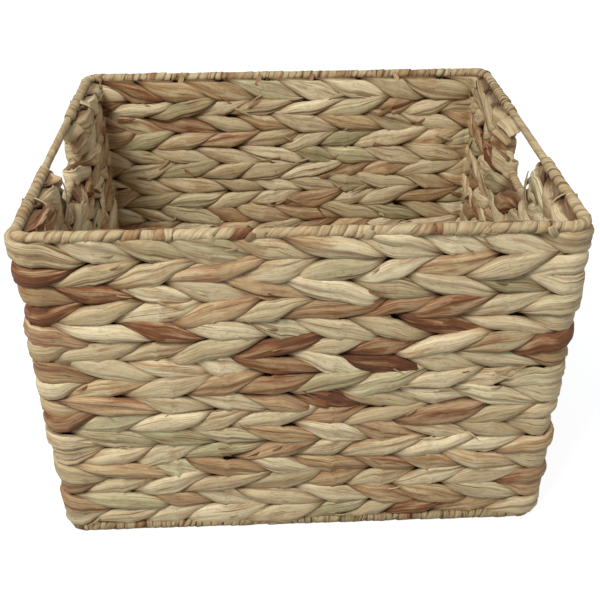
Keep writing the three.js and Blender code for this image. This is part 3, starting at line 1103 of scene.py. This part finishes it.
def strip(place, controls, width, thickness, looks, facing=(0.0, 1.0, 0.0), tip=0.1):
    """A flat strip of leaf along a curve through four control points of (along, out, up).
    looks are its values for the material, facing the way its face looks, and tip is how wide
    its end is, as a share of its width."""
    t = np.linspace(0, 1, STRIP_RINGS)[:, None]
    a, b, c, d = np.array(controls, float)
    spine = (1 - t) ** 3 * a + 3 * (1 - t) ** 2 * t * b + 3 * (1 - t) * t**2 * c + t**3 * d
    way = np.gradient(spine, axis=0)
    way /= np.linalg.norm(way, axis=1, keepdims=True)
    face = np.array(facing) - way * (way @ np.array(facing))[:, None]
    face /= np.linalg.norm(face, axis=1, keepdims=True)
    side = np.cross(way, face)
    half = width / 2 * np.interp(t[:, 0], [0, 0.25, 0.6, 1], [0.75, 1, 0.8 + 0.15 * tip, tip])
    angle = np.arange(STRIP_POINTS) / STRIP_POINTS * 2 * np.pi
    ring = spine[:, None] + side[:, None] * (half[:, None] * np.cos(angle))[..., None]
    ring = ring + face[:, None] * (thickness / 2 * np.sin(angle))[None, :, None]
    points = place(ring[..., 0], ring[..., 1], ring[..., 2])
    around = np.linspace(0, 2 * width, ring.shape[1] + 1)
    vertices, faces, maps = tube(points, ring_lengths(points, False), around, False)
    return vertices, faces, maps, {key: np.full(len(vertices), value) for key, value in looks.items()}


def looks_of(rng, low, high):
    """Values of one loose strip of leaf, with a tone between low and high."""
    return {
        "tone": rng.uniform(low, high),
        "shade": rng.uniform(0.0, 0.6),
        "crease": 0.1,
        "leaf": rng.random(),
    }


def loose_ends(rng, place, stretch, reach, half_height, lean, count):
    """Ends of strips that stick out between the leaves, as many as count on each face."""
    parts = []
    for side in (-1, 1):
        for _ in range(count):
            along, size = rng.uniform(*stretch), rng.uniform(9, 24 if side < 0 else 15) * MM
            way = rng.choice((-1.0, 1.0))
            rise = -way * lean * rng.uniform(0.1, 0.5) + rng.normal(0, 0.25)
            up = rng.uniform(-0.8, 0.8) * half_height
            stick = rng.uniform(0.2, 3.0 if side < 0 else 1.2) * MM
            controls = [
                (along, side * (reach - 5 * MM), up),
                (along + way * 0.3 * size, side * (reach + 0.2 * MM), up + 0.2 * rise * size),
                (along + way * 0.7 * size, side * (reach + 0.6 * MM), up + 0.6 * rise * size),
                (along + way * size, side * (reach + stick), up + rise * size),
            ]
            width = rng.uniform(1.2, 5.5 if side < 0 else 2.4) * MM
            parts.append(strip(place, controls, width, LOOSE_THICKNESS, looks_of(rng, 0.3, 0.95)))
    return parts


def set_leaves(number, line):
    """Leaves of a course that have the tone they show in the photograph, as the place along the
    line, 0 for an outside leaf or 1 for an inside leaf, and the tone.

    The lists give a leaf's X and its tone, for the courses numbered from the rim."""
    in_front = {
        2: [(-0.199, 0.93), (-0.150, 0.36)],
        3: [(-0.128, 0.88), (-0.077, 0.40)],
        4: [(-0.199, 0.92), (0.10, 0.80)],
        5: [(-0.085, 0.87), (0.10, 0.93), (0.15, 0.3)],
        6: [(0.19, 0.90)],
        7: [(-0.03, 0.80), (0.065, 1.0)],
    }
    at_back = {
        1: [(-0.13, 0.78), (0.08, 0.34), (0.12, 0.30), (0.16, 0.40)],
        3: [(-0.07, 0.25), (0.0, 0.16), (0.04, 0.30)],
        4: [(-0.02, 0.30), (0.02, 0.12)],
        6: [(-0.09, 0.04)],
    }
    places = [(line.front_middle + x, 0, tone) for x, tone in in_front.get(number, [])]
    return places + [(line.back_middle - x, 1, tone) for x, tone in at_back.get(number, [])]


def tone_leaves(strand, stands, start, number, line):
    """Makes the leaves of the left wall browner as painted shade, and gives some leaves of a course a
    set tone.
    """
    beside = np.minimum(stands, line.length - stands) < LEFT_REACH
    shaded = (np.flatnonzero(beside) + start) % strand.leaves
    # Painted shade: the leaves of the left wall turn browner and darker
    browner = np.minimum(strand.tone[shaded] + LEFT_WALL_SHADE, BROWNEST)
    strand.tone[shaded] = np.maximum(strand.tone[shaded], browner)
    for along, face, tone in set_leaves(number, line):
        k = int(np.argmin(np.abs(stands - along)))
        if abs(stands[k] - along) < SET_LEAF_REACH and (k + start) % 2 == face:
            strand.tone[(k + start) % strand.leaves] = tone


# Operators


def finish_piece(made, slot, *nodes):
    """Puts a piece on the basket's body, in place of its CAD nodes."""
    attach(made, "root")
    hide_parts(*nodes)


def wall_line():
    return WallLine(WALL_HALF, PATH_CORNER)


def handle_line():
    """Points of a handle wire, as its place along the wall and its height."""
    low, high = span("handle_wire_left", 2)
    bar = low + HANDLE_WIRE_RADIUS
    angle = np.linspace(0, np.pi, HANDLE_POINTS)
    along = -np.sign(np.cos(angle)) * np.abs(np.cos(angle)) ** HANDLE_ROUNDNESS * HANDLE_HALF
    return along, high - (high - bar) * np.sin(angle) ** HANDLE_ROUNDNESS


def jamb_place(z):
    """How far from the middle of its wall the handle wire passes a height."""
    along, heights = handle_line()
    half = slice(0, HANDLE_POINTS // 2 + 1)
    return -np.interp(-z, -heights[half], along[half])


class BASKET_OT_weave_walls(bpy.types.Operator):
    """Twines the courses of the four walls round the uprights"""

    bl_idname = "basket.weave_walls"
    bl_label = "Weave walls"

    def execute(self, context):
        weave = context.scene.basket_weave
        line = wall_line()
        stands, posts = line.uprights()

        def corner_shift(along):
            away = np.min(np.abs(np.mod(along, line.length)[:, None] - posts[None, :]), axis=1)
            return CORNER_POST_OFFSET * (1 - smooth(away / CORNER_BEND))

        for number in range(1, COURSES + 1):
            name = f"course_{number:02d}"
            halves = ["_front", "_back"] if number <= OPEN_COURSES else [""]
            z = middle(name + halves[0], 2) + END_COURSE_SHIFT.get(number, 0)
            rng = np.random.default_rng(weave.seed * 1000 + number)
            rise = wobble(rng, WOBBLE * weave.unevenness)

            def place(along, out, up):
                height = z + up + rise(along / line.length)
                return line.spot(along, out, np.clip(height, LOWEST_LEAF, RIM_Z - RIM_COVER))

            def marked(strand, stands, start):
                tone_leaves(strand, stands, start, number, line)

            lean = 1.0 if number % 2 else -1.0
            growth = END_COURSE_GROWTH if number in END_COURSE_SHIFT else 0
            half_height = weave.strand_height / 2 + growth
            pair = Pair(rng, weave, lean, half_height, WALL_HALF, UPRIGHT_ROOM, place)
            for half in halves:
                if half:
                    first = 0.0 if half == "_front" else line.length / 2
                    jamb = jamb_place(z)
                    ends = (first + jamb, first + line.length / 2 - jamb)
                    inner = stands[(stands > ends[0] + JAMB_CLEAR) & (stands < ends[1] - JAMB_CLEAR)]
                    here = np.concatenate([ends[:1], inner, ends[1:]])
                    parts = pair.there_and_back(here, corner_shift, marked, JAMB_PIVOT, TURN_SQUASH)
                    stretch, many = (ends[0] + LOOSE_CLEAR, ends[1] - LOOSE_CLEAR), LOOSE_ENDS[1]
                else:
                    parts = pair.round_all(stands, line.length, corner_shift, marked)
                    stretch, many = (0.0, line.length), LOOSE_ENDS[0]
                ends_rng = np.random.default_rng(weave.seed * 1000 + 500 + number)
                parts += loose_ends(ends_rng, place, stretch, WALL_HALF, half_height, lean, many)
                made = add_object(name + half + "_twined", *joined(parts), finishes()["Twined leaf"])
                finish_piece(made, "hyacinth_weave", name + half)
        return {"FINISHED"}


class BASKET_OT_weave_floor(bpy.types.Operator):
    """Twines the floor's rows round the cross wires"""

    bl_idname = "basket.weave_floor"
    bl_label = "Weave floor"

    def execute(self, context):
        weave = context.scene.basket_weave
        low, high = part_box("floor_mat")
        pitch = (high.y - low.y) / FLOOR_ROWS
        middle_z, thickness = (low.z + high.z) / 2, high.z - low.z
        edge = 1 * MM  # from the mat's edge to where its rows turn back
        stands = np.array([low.x + edge, *cross_wire_places(), high.x - edge])
        reach = thickness / 2 - 0.1 * MM
        parts = []
        for row in range(FLOOR_ROWS):
            rng = np.random.default_rng(weave.seed * 1000 + 100 + row)
            y = low.y + (row + 0.5) * pitch

            def place(along, out, up):
                return np.stack([along, y + up, np.maximum(middle_z + out, 0.2 * MM)], axis=-1)

            lean = 1.0 if row % 2 else -1.0
            pair = Pair(rng, weave, lean, pitch * FLOOR_OVERLAP, reach, CROSS_WIRE_ROOM, place)
            parts += pair.there_and_back(stands, np.zeros_like, lambda *_: None, 0.0, TURN_SQUASH)
        made = add_object("floor_twined", *joined(parts), finishes()["Floor leaf"])
        finish_piece(made, "floor_weave", "floor_mat")
        return {"FINISHED"}


class Winding:
    """A strip of leaf wound along a wire, each turn lying over the one before."""

    POINTS = 18
    PROFILE = ((0.0, 0.35), (0.05, 1.0), (0.35, 0.8), (0.7, 0.45), (0.97, 0.05))  # place, edge
    PROFILE_SHADE = np.array([0.7, 0.0, 0.0, 0.0, 0.85])  # how dark each line of the profile is: painted shade at the step where a turn lies over the one before
    STEPS = len(PROFILE)
    UNEVEN = 0.42  # how much the widths of the turns differ
    SLANT = 0.35  # width of the slant at both ends of an open winding, beside a turn's
    TILT = 0.45  # how far a turn lies aslant at most, as a share of the radius
    FLATS = 0.2 * MM  # height of the three waves round each turn
    CLEAR_EDGE = 0.5 * MM  # the lower an edge is beside this, the less painted shade it gets
    SHADE = -0.62  # makes the bindings darker than the leaves of the walls

    def __init__(self, rng, place, start, end, radius, band, edge, closed):
        self.rng, self.place, self.closed, self.radius, self.edge = rng, place, closed, radius, edge
        count = max(3, round((end - start) / band))
        widths = np.exp(np.clip(rng.standard_normal(count), -1.6, 2) * self.UNEVEN)
        if not closed:
            widths[0] = self.SLANT
        whole = widths.sum() + (0.0 if closed else widths[0])
        self.marks = start + (end - start) * np.concatenate([[0.0], np.cumsum(widths) / whole])
        self.count, self.length = count, self.marks[-1] - start

    def repeated(self, *lists):
        """Makes the values past the last turn those of the first turns again, in each list."""
        for values in lists:
            values[self.count :] = values[: len(values) - self.count]

    def part(self, tone_range, dark_share, dull=0.0):
        """Vertices, faces, corner map and values. dull darkens the whole winding: a little on the rim,
        and on the bottom edge as painted shade along the ground.
        """
        steps, around, count = self.STEPS, self.POINTS, self.count
        widths = np.diff(self.marks)
        spare = 1 if self.closed else 2
        band = np.arange(count + spare)
        starts = self.marks[band % count] + (band // count) * self.length
        widths = widths[band % count]
        shares, edges = np.array(self.PROFILE).T
        along_marks = (starts[:, None] + widths[:, None] * shares[None, :]).ravel()
        rings = count * steps
        m, i = np.meshgrid(np.arange(rings), np.arange(around), indexing="ij")
        share = i / around
        along = along_marks[m] * (1 - share) + along_marks[m + steps] * share
        turn = m // steps + share
        loose = self.rng.uniform(-0.5, 0.8, count + 2) * self.edge
        tilt = self.rng.uniform(-1.0, 1.0, count + 2) * self.TILT * self.radius
        facet = self.rng.uniform(0, 2 * np.pi, count + 2)
        step = self.rng.uniform(0.15, 1.3, count + 2)
        self.repeated(loose, tilt, step)
        numbers = np.arange(count + 2)
        angle = share * 2 * np.pi
        radius = self.radius + self.edge * (edges[m % steps] - 0.55) * np.interp(turn, numbers, step)
        flats = self.FLATS * np.sin(3 * angle + facet[(m // steps) % count])
        radius = radius + np.interp(turn, numbers, loose) + flats
        along = along + np.interp(turn, numbers, tilt) * np.sin(angle - 0.8)
        points = self.place(along, radius * np.cos(angle), radius * np.sin(angle))
        quads, corners = self.faces(rings, steps, around)
        girth = 2 * np.pi * self.radius
        turns = (corners[..., 0] // steps) + corners[..., 1] / around
        across = shares[corners[..., 0] % steps] * widths[(corners[..., 0] // steps) % len(widths)]
        maps = np.stack([turns * girth, across], axis=-1)
        tone, shade = leaf_tones(self.rng, count + 2)
        tone = tone_range[0] + (tone_range[1] - tone_range[0]) * tone
        dark = self.rng.random(count + 2) < dark_share
        tone = np.where(dark, self.rng.uniform(0.7, 0.9, count + 2), tone)
        shade = shade + self.SHADE
        self.repeated(tone, shade)
        # Painted shade along the step where each turn lies over the one before, deeper where the step is
        # higher
        edge_shade = self.PROFILE_SHADE[m % steps] * np.interp(turn, numbers, step)
        edge_shade = edge_shade * min(1.0, 0.2 + self.edge / self.CLEAR_EDGE)
        values = {
            "tone": np.interp(turn, numbers, tone),
            "shade": np.interp(turn, numbers, shade),
            "crease": np.minimum(edge_shade + dull, 0.95),
            "leaf": np.full(turn.shape, self.rng.random()),
        }
        vertices = points.reshape(-1, 3)
        values = {key: v.ravel() for key, v in values.items()}
        if self.closed:
            return vertices, [quads], [maps], values
        return self.capped(vertices, quads, maps, values)

    def faces(self, rings, steps, around):
        """Quads of a tube whose rings are one continuous screw. Past the last point of a ring
        comes the first point of the ring one turn further on."""
        last = rings if self.closed else rings - steps - 1
        bands = rings if self.closed else rings - 1
        m, i = np.meshgrid(np.arange(bands), np.arange(around), indexing="ij")
        m, i = m.ravel(), i.ravel()
        if not self.closed:
            keep = (i < around - 1) | (m < last)
            m, i = m[keep], i[keep]
        corners = [(m, i), (m, i + 1), (m + 1, i + 1), (m + 1, i)]

        def number(ring, point):
            ring = ring + np.where(point == around, steps, 0)
            return (ring % rings) * around + point % around

        quads = np.stack([number(a, b) for a, b in corners], axis=1)
        return quads, np.stack([np.stack(pair, axis=1) for pair in corners], axis=1)

    def capped(self, vertices, quads, maps, values):
        """Closes both ends of the screw with a fan."""
        edges = {}
        for quad in quads:
            for a, b in zip(quad, np.roll(quad, -1)):
                if edges.pop((b, a), None) is None:
                    edges[(a, b)] = True
        following = dict(edges.keys())
        blocks, corner_maps, extra = [quads], [maps], []
        while following:
            start = next(iter(following))
            loop, at = [], start
            while at in following:
                loop.append(at)
                at = following.pop(at)
            loop = np.array(loop)
            centre = len(vertices) + len(extra)
            extra.append(vertices[loop].mean(axis=0))
            fan = np.stack([np.full(len(loop), centre), np.roll(loop, -1), loop], axis=1)
            blocks.append(fan)
            corner_maps.append(np.zeros((len(loop), 3, 2)))
        vertices = np.vstack([vertices, extra])
        values = {key: np.concatenate([v, np.full(len(extra), v[0])]) for key, v in values.items()}
        return vertices, blocks, corner_maps, values


def rim_place(z):
    """The line of the rim or the base wire, and its (along, out, up) places, none below ground."""
    line = WallLine(RIM_INSET, RIM_CORNER)
    return line, lambda along, out, up: line.spot(along, out, np.maximum(z + up, LEAST_HEIGHT))


class BASKET_OT_wind_rim(bpy.types.Operator):
    """Winds the rim, thick over the walls and thin over the grips"""

    bl_idname = "basket.wind_rim"
    bl_label = "Wind rim"

    def execute(self, context):
        bands = context.scene.basket_bindings
        line, place = rim_place(RIM_Z)
        half = line.length / 2
        radius = half_span("rim_binding_front", 2)
        thin = half_span("grip_binding_left", 2)
        wall = wall_line()
        for number, (name, first) in enumerate((("front", 0.0), ("back", half))):
            rng = np.random.default_rng(300 + number)
            start, end = first + HANDLE_HALF, first + half - HANDLE_HALF
            band = bands.rim_band * (1 - 0.3 * number)  # narrower at the back
            edge = bands.edge * RIM_EDGE
            wound = Winding(rng, place, start, end, radius, band, edge, closed=False)
            parts = [wound.part(tone_range=(0.08, 0.66), dark_share=0.08 + 0.06 * number, dull=0.05)]
            for along in self.stitches(rng, wall, number):
                parts += self.stitch(rng, wall, along)
            made = add_object(f"rim_{name}_wound", *joined(parts), finishes()["Binding leaf"])
            finish_piece(made, "leaf_binding", f"rim_binding_{name}")
        for number, (name, centre) in enumerate((("left", 0.0), ("right", half))):
            rng = np.random.default_rng(310 + number)
            start, end = centre - HANDLE_HALF - GRIP_LAP, centre + HANDLE_HALF + GRIP_LAP
            edge = bands.edge * GRIP_EDGE
            wound = Winding(rng, place, start, end, thin, bands.grip_band, edge, closed=False)
            parts = joined([wound.part(tone_range=(0.02, 0.45), dark_share=0.04)])
            made = add_object(f"grip_{name}_wound", *parts, finishes()["Binding leaf"])
            finish_piece(made, "leaf_binding", f"grip_binding_{name}")
        return {"FINISHED"}

    @staticmethod
    def stitches(rng, wall, number):
        """Where strips hang from the rim. Those of the front wall follow the photograph."""
        if number == 0:
            places = [wall.front_middle + x * MM for x in (-64, -34, 45, 123, 164)]
            return [wall.marks[1] * 0.72, *places, wall.marks[4] * 1.06]
        start = wall.marks[6]
        return start + np.cumsum(rng.uniform(50, 80, 6)) * MM

    @staticmethod
    def stitch(rng, wall, along):
        """Two strips, one on each face, that leave the rim, cross the first course and tuck in
        below it."""
        way, wide = rng.choice((-1.0, 1.0)), rng.uniform(4.5, 6.5) * MM
        drop = rng.uniform(8, 12) * MM

        def place(along, out, up):
            return wall.spot(along, out, RIM_Z + up)

        parts = []
        for side in (1, -1):
            face = side * WALL_HALF
            controls = [
                (along, WALL_HALF - RIM_INSET + side * 4.2 * MM, 2.5 * MM),
                (along + way * 2 * MM, face + side * 0.4 * MM, -1.5 * MM),
                (along + way * 5 * MM, face + side * 0.2 * MM, -6 * MM),
                (along + way * 9 * MM, face - side * 9 * MM, -drop),
            ]
            looks = looks_of(rng, 0.25, 0.75)
            parts.append(strip(place, controls, wide, STRIP_THICKNESS, looks))
        return parts


class BASKET_OT_wind_handles(bpy.types.Operator):
    """Winds the bar along the lower edge of each handle opening"""

    bl_idname = "basket.wind_handles"
    bl_label = "Wind handle bars"

    def execute(self, context):
        bands = context.scene.basket_bindings
        along, heights = handle_line()
        lengths = np.concatenate([[0.0], np.cumsum(np.hypot(np.diff(along), np.diff(heights)))])
        for number, (name, sign) in enumerate((("left", -1), ("right", 1))):

            def place(s, out, up):
                y, z = np.interp(s, lengths, along), np.interp(s, lengths, heights)
                after, before = s + 1 * MM, s - 1 * MM
                dy = np.interp(after, lengths, along) - np.interp(before, lengths, along)
                dz = np.interp(after, lengths, heights) - np.interp(before, lengths, heights)
                size = np.hypot(dy, dz)
                dy, dz = dy / size, dz / size
                x = half_extents(z)[0] - RIM_INSET + out
                return np.stack([sign * x, y - dz * up, z + dy * up], axis=-1)

            rng = np.random.default_rng(320 + number)
            radius = half_span(f"handle_binding_{name}", 0) - HANDLE_SLACK
            start, end = HANDLE_GAP, lengths[-1] - HANDLE_GAP
            edge = bands.edge * HANDLE_EDGE
            wound = Winding(rng, place, start, end, radius, bands.handle_band, edge, closed=False)
            bar = wound.part(tone_range=(0.12, 0.5), dark_share=0.0)
            parts = [bar, *self.hanging_leaves(rng, sign)]
            made = add_object(f"handle_{name}_wound", *joined(parts), finishes()["Binding leaf"])
            finish_piece(made, "leaf_binding", f"handle_binding_{name}")
        return {"FINISHED"}

    @staticmethod
    def hanging_leaves(rng, sign):
        """Broad ends of leaf: two lie over the jamb at the back, one stands up beside the jamb in
        front and one lies over it. Their controls and widths are in millimetres."""
        wall = wall_line()
        home = 0.0 if sign < 0 else wall.length / 2
        front = 1.0 if sign < 0 else -1.0  # way along the wall to the front

        def place(along, out, up):
            return wall.spot(home + front * along, out, RIM_Z + up)

        up, out = (0.0, -0.55, 0.83), (0.0, 0.9, 0.4)
        leaves = [
            (up, [(-60, -2, -8), (-52, -1, -4), (-42, 2, -6), (-32, 4, -11)], 16, 0.7),
            (up, [(-60, -6, -18), (-54, -5, -13), (-46, -2, -16), (-39, 2, -23)], 13, 0.5),
            (out, [(72, -7, -36), (67, -11, -26), (63, -11, -14), (60, -8, -5)], 12, 0.3),
            (up, [(64, -2, -14), (56, -4, -10), (49, -4, -14), (43, -2, -26)], 11, 0.4),
        ]
        parts = []
        for facing, controls, wide, tip in leaves:
            controls = (np.array(controls, float) + rng.normal(0, 0.8, (4, 3))) * MM
            looks = looks_of(rng, 0.15, 0.6)
            parts.append(strip(place, controls, wide * MM, STRIP_THICKNESS, looks, facing, tip))
        return parts


class BASKET_OT_wind_base(bpy.types.Operator):
    """Winds the bottom edge"""

    bl_idname = "basket.wind_base"
    bl_label = "Wind bottom edge"

    def execute(self, context):
        bands = context.scene.basket_bindings
        line, place = rim_place(BASE_Z)
        rng, radius, band = np.random.default_rng(330), half_span("base_binding", 2), bands.base_band
        wound = Winding(rng, place, 0.0, line.length, radius, band, bands.edge, closed=True)
        # dull=0.28 paints shade along the bottom edge, where it meets the ground
        parts = joined([wound.part(tone_range=(0.0, 0.45), dark_share=0.08, dull=0.28)])
        made = add_object("base_wound", *parts, finishes()["Binding leaf"])
        finish_piece(made, "leaf_binding", "base_binding")
        return {"FINISHED"}


class BASKET_OT_paint_frame(bpy.types.Operator):
    """Gives the frame's wires their paint"""

    bl_idname = "basket.paint_frame"
    bl_label = "Paint frame"

    def execute(self, context):
        paint = finishes()["Painted wire"]
        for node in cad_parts.values():
            if not node.hide_render:
                node.data.materials.clear()
                node.data.materials.append(paint)
        return {"FINISHED"}


class BASKET_OT_set_stage(bpy.types.Operator):
    """Sets the floor, the lights and the camera"""

    bl_idname = "basket.set_stage"
    bl_label = "Set stage"

    FLOOR_HALF = 6.0
    FLOOR_GLOW = 0.835  # with what the lamps give, the floor just reaches white
    SKY_COLOUR = (0.93, 1.0, 1.04)
    KEY_PLACE = (-0.85, -1.15, 1.85)
    KEY_SIZE = 0.7
    FILL_PLACE = (1.6, -0.9, 1.3)
    FILL_SIZE = 1.4
    LAMPS_FACE = (0, 0, 0.12)
    SENSOR_WIDTH = 36.0  # millimetres

    def execute(self, context):
        scene, stage = context.scene, context.scene.basket_stage
        scene.view_settings.view_transform = "Standard"
        self.add_floor(stage)
        self.add_sky(scene, stage)
        self.add_lamp("Key light", stage.key_power, self.KEY_PLACE, self.KEY_SIZE)
        self.add_lamp("Fill light", stage.fill_power, self.FILL_PLACE, self.FILL_SIZE)
        self.add_camera(scene, stage)
        return {"FINISHED"}

    def add_camera(self, scene, stage):
        data = bpy.data.cameras.new("Camera")
        data.lens, data.sensor_width = stage.lens, self.SENSOR_WIDTH
        camera = bpy.data.objects.new("Camera", data)
        camera.location, camera.rotation_euler = stage.camera_place, Euler(stage.camera_tilt)
        scene.collection.objects.link(camera)
        scene.camera = camera

    def add_floor(self, stage):
        half = self.FLOOR_HALF
        corners = [(-half, -half, 0), (half, -half, 0), (half, half, 0), (-half, half, 0)]
        mesh = bpy.data.meshes.new("Floor")
        mesh.from_pydata(corners, [], [(0, 1, 2, 3)])
        floor = bpy.data.objects.new("Floor", mesh)
        bpy.context.scene.collection.objects.link(floor)
        material = bpy.data.materials.new("Studio floor")
        material.use_nodes = True
        tree = material.node_tree
        shader = tree.nodes["Principled BSDF"]
        shader.inputs["Base Color"].default_value = (*stage.floor, 1)
        shader.inputs["Roughness"].default_value = 0.9
        shader.inputs["Specular IOR Level"].default_value = 0.1
        glow = add_node(tree, "ShaderNodeEmission")
        glow.inputs["Strength"].default_value = self.FLOOR_GLOW
        both = add_node(tree, "ShaderNodeAddShader", {0: shader.outputs[0], 1: glow.outputs[0]})
        shaders = {0: seen_as_white(tree), 1: shader.outputs[0], 2: both.outputs[0]}
        pick = add_node(tree, "ShaderNodeMixShader", shaders)
        tree.links.new(pick.outputs[0], tree.nodes["Material Output"].inputs["Surface"])
        mesh.materials.append(material)

    def add_sky(self, scene, stage):
        world = bpy.data.worlds.new("Studio")
        scene.world = world
        world.use_nodes = True
        tree = world.node_tree
        light = tree.nodes["Background"]
        light.inputs["Color"].default_value = (*self.SKY_COLOUR, 1)
        light.inputs["Strength"].default_value = stage.sky
        white = add_node(tree, "ShaderNodeBackground", {"Color": (1, 1, 1, 1), "Strength": 1.0})
        shaders = {0: seen_as_white(tree), 1: light.outputs[0], 2: white.outputs[0]}
        pick = add_node(tree, "ShaderNodeMixShader", shaders)
        tree.links.new(pick.outputs[0], tree.nodes["World Output"].inputs["Surface"])

    def add_lamp(self, name, power, place, size):
        data = bpy.data.lights.new(name, "AREA")
        data.energy, data.size = power, size
        lamp = bpy.data.objects.new(name, data)
        lamp.location = place
        way = Vector(self.LAMPS_FACE) - Vector(place)
        lamp.rotation_euler = way.to_track_quat("-Z", "Y").to_euler()
        bpy.context.scene.collection.objects.link(lamp)


class BASKET_PT_panel(bpy.types.Panel):
    """Sizes, colours and steps of the basket"""

    bl_idname = "BASKET_PT_panel"
    bl_label = "Woven storage basket"
    bl_space_type = "VIEW_3D"
    bl_region_type = "UI"
    bl_category = "Basket"

    def draw(self, context):
        layout, scene = self.layout, context.scene
        for title, settings in (
            ("Weave", scene.basket_weave),
            ("Bindings", scene.basket_bindings),
            ("Colours", scene.basket_colours),
            ("Stage", scene.basket_stage),
        ):
            box = layout.box()
            box.label(text=title)
            for key in settings.bl_rna.properties.keys():
                if key not in ("rna_type", "name"):
                    box.prop(settings, key)
        for operator in OPERATORS:
            layout.operator(operator.bl_idname)


OPERATORS = (
    BASKET_OT_weave_walls,
    BASKET_OT_weave_floor,
    BASKET_OT_wind_rim,
    BASKET_OT_wind_handles,
    BASKET_OT_wind_base,
    BASKET_OT_paint_frame,
    BASKET_OT_set_stage,
)
SETTINGS = {
    "basket_weave": WeaveSettings,
    "basket_bindings": BindingSettings,
    "basket_colours": ColourSettings,
    "basket_stage": StageSettings,
}


def register():
    for group in (*SETTINGS.values(), *OPERATORS, BASKET_PT_panel):
        bpy.utils.register_class(group)
    for name, group in SETTINGS.items():
        setattr(bpy.types.Scene, name, PointerProperty(type=group))


def unregister():
    for name in SETTINGS:
        delattr(bpy.types.Scene, name)
    for group in (BASKET_PT_panel, *reversed(OPERATORS), *SETTINGS.values()):
        bpy.utils.unregister_class(group)


def main():
    register()
    for operator in OPERATORS:
        category, name = operator.bl_idname.split(".")
        getattr(getattr(bpy.ops, category), name)()


if __name__ == "__main__":
    main()
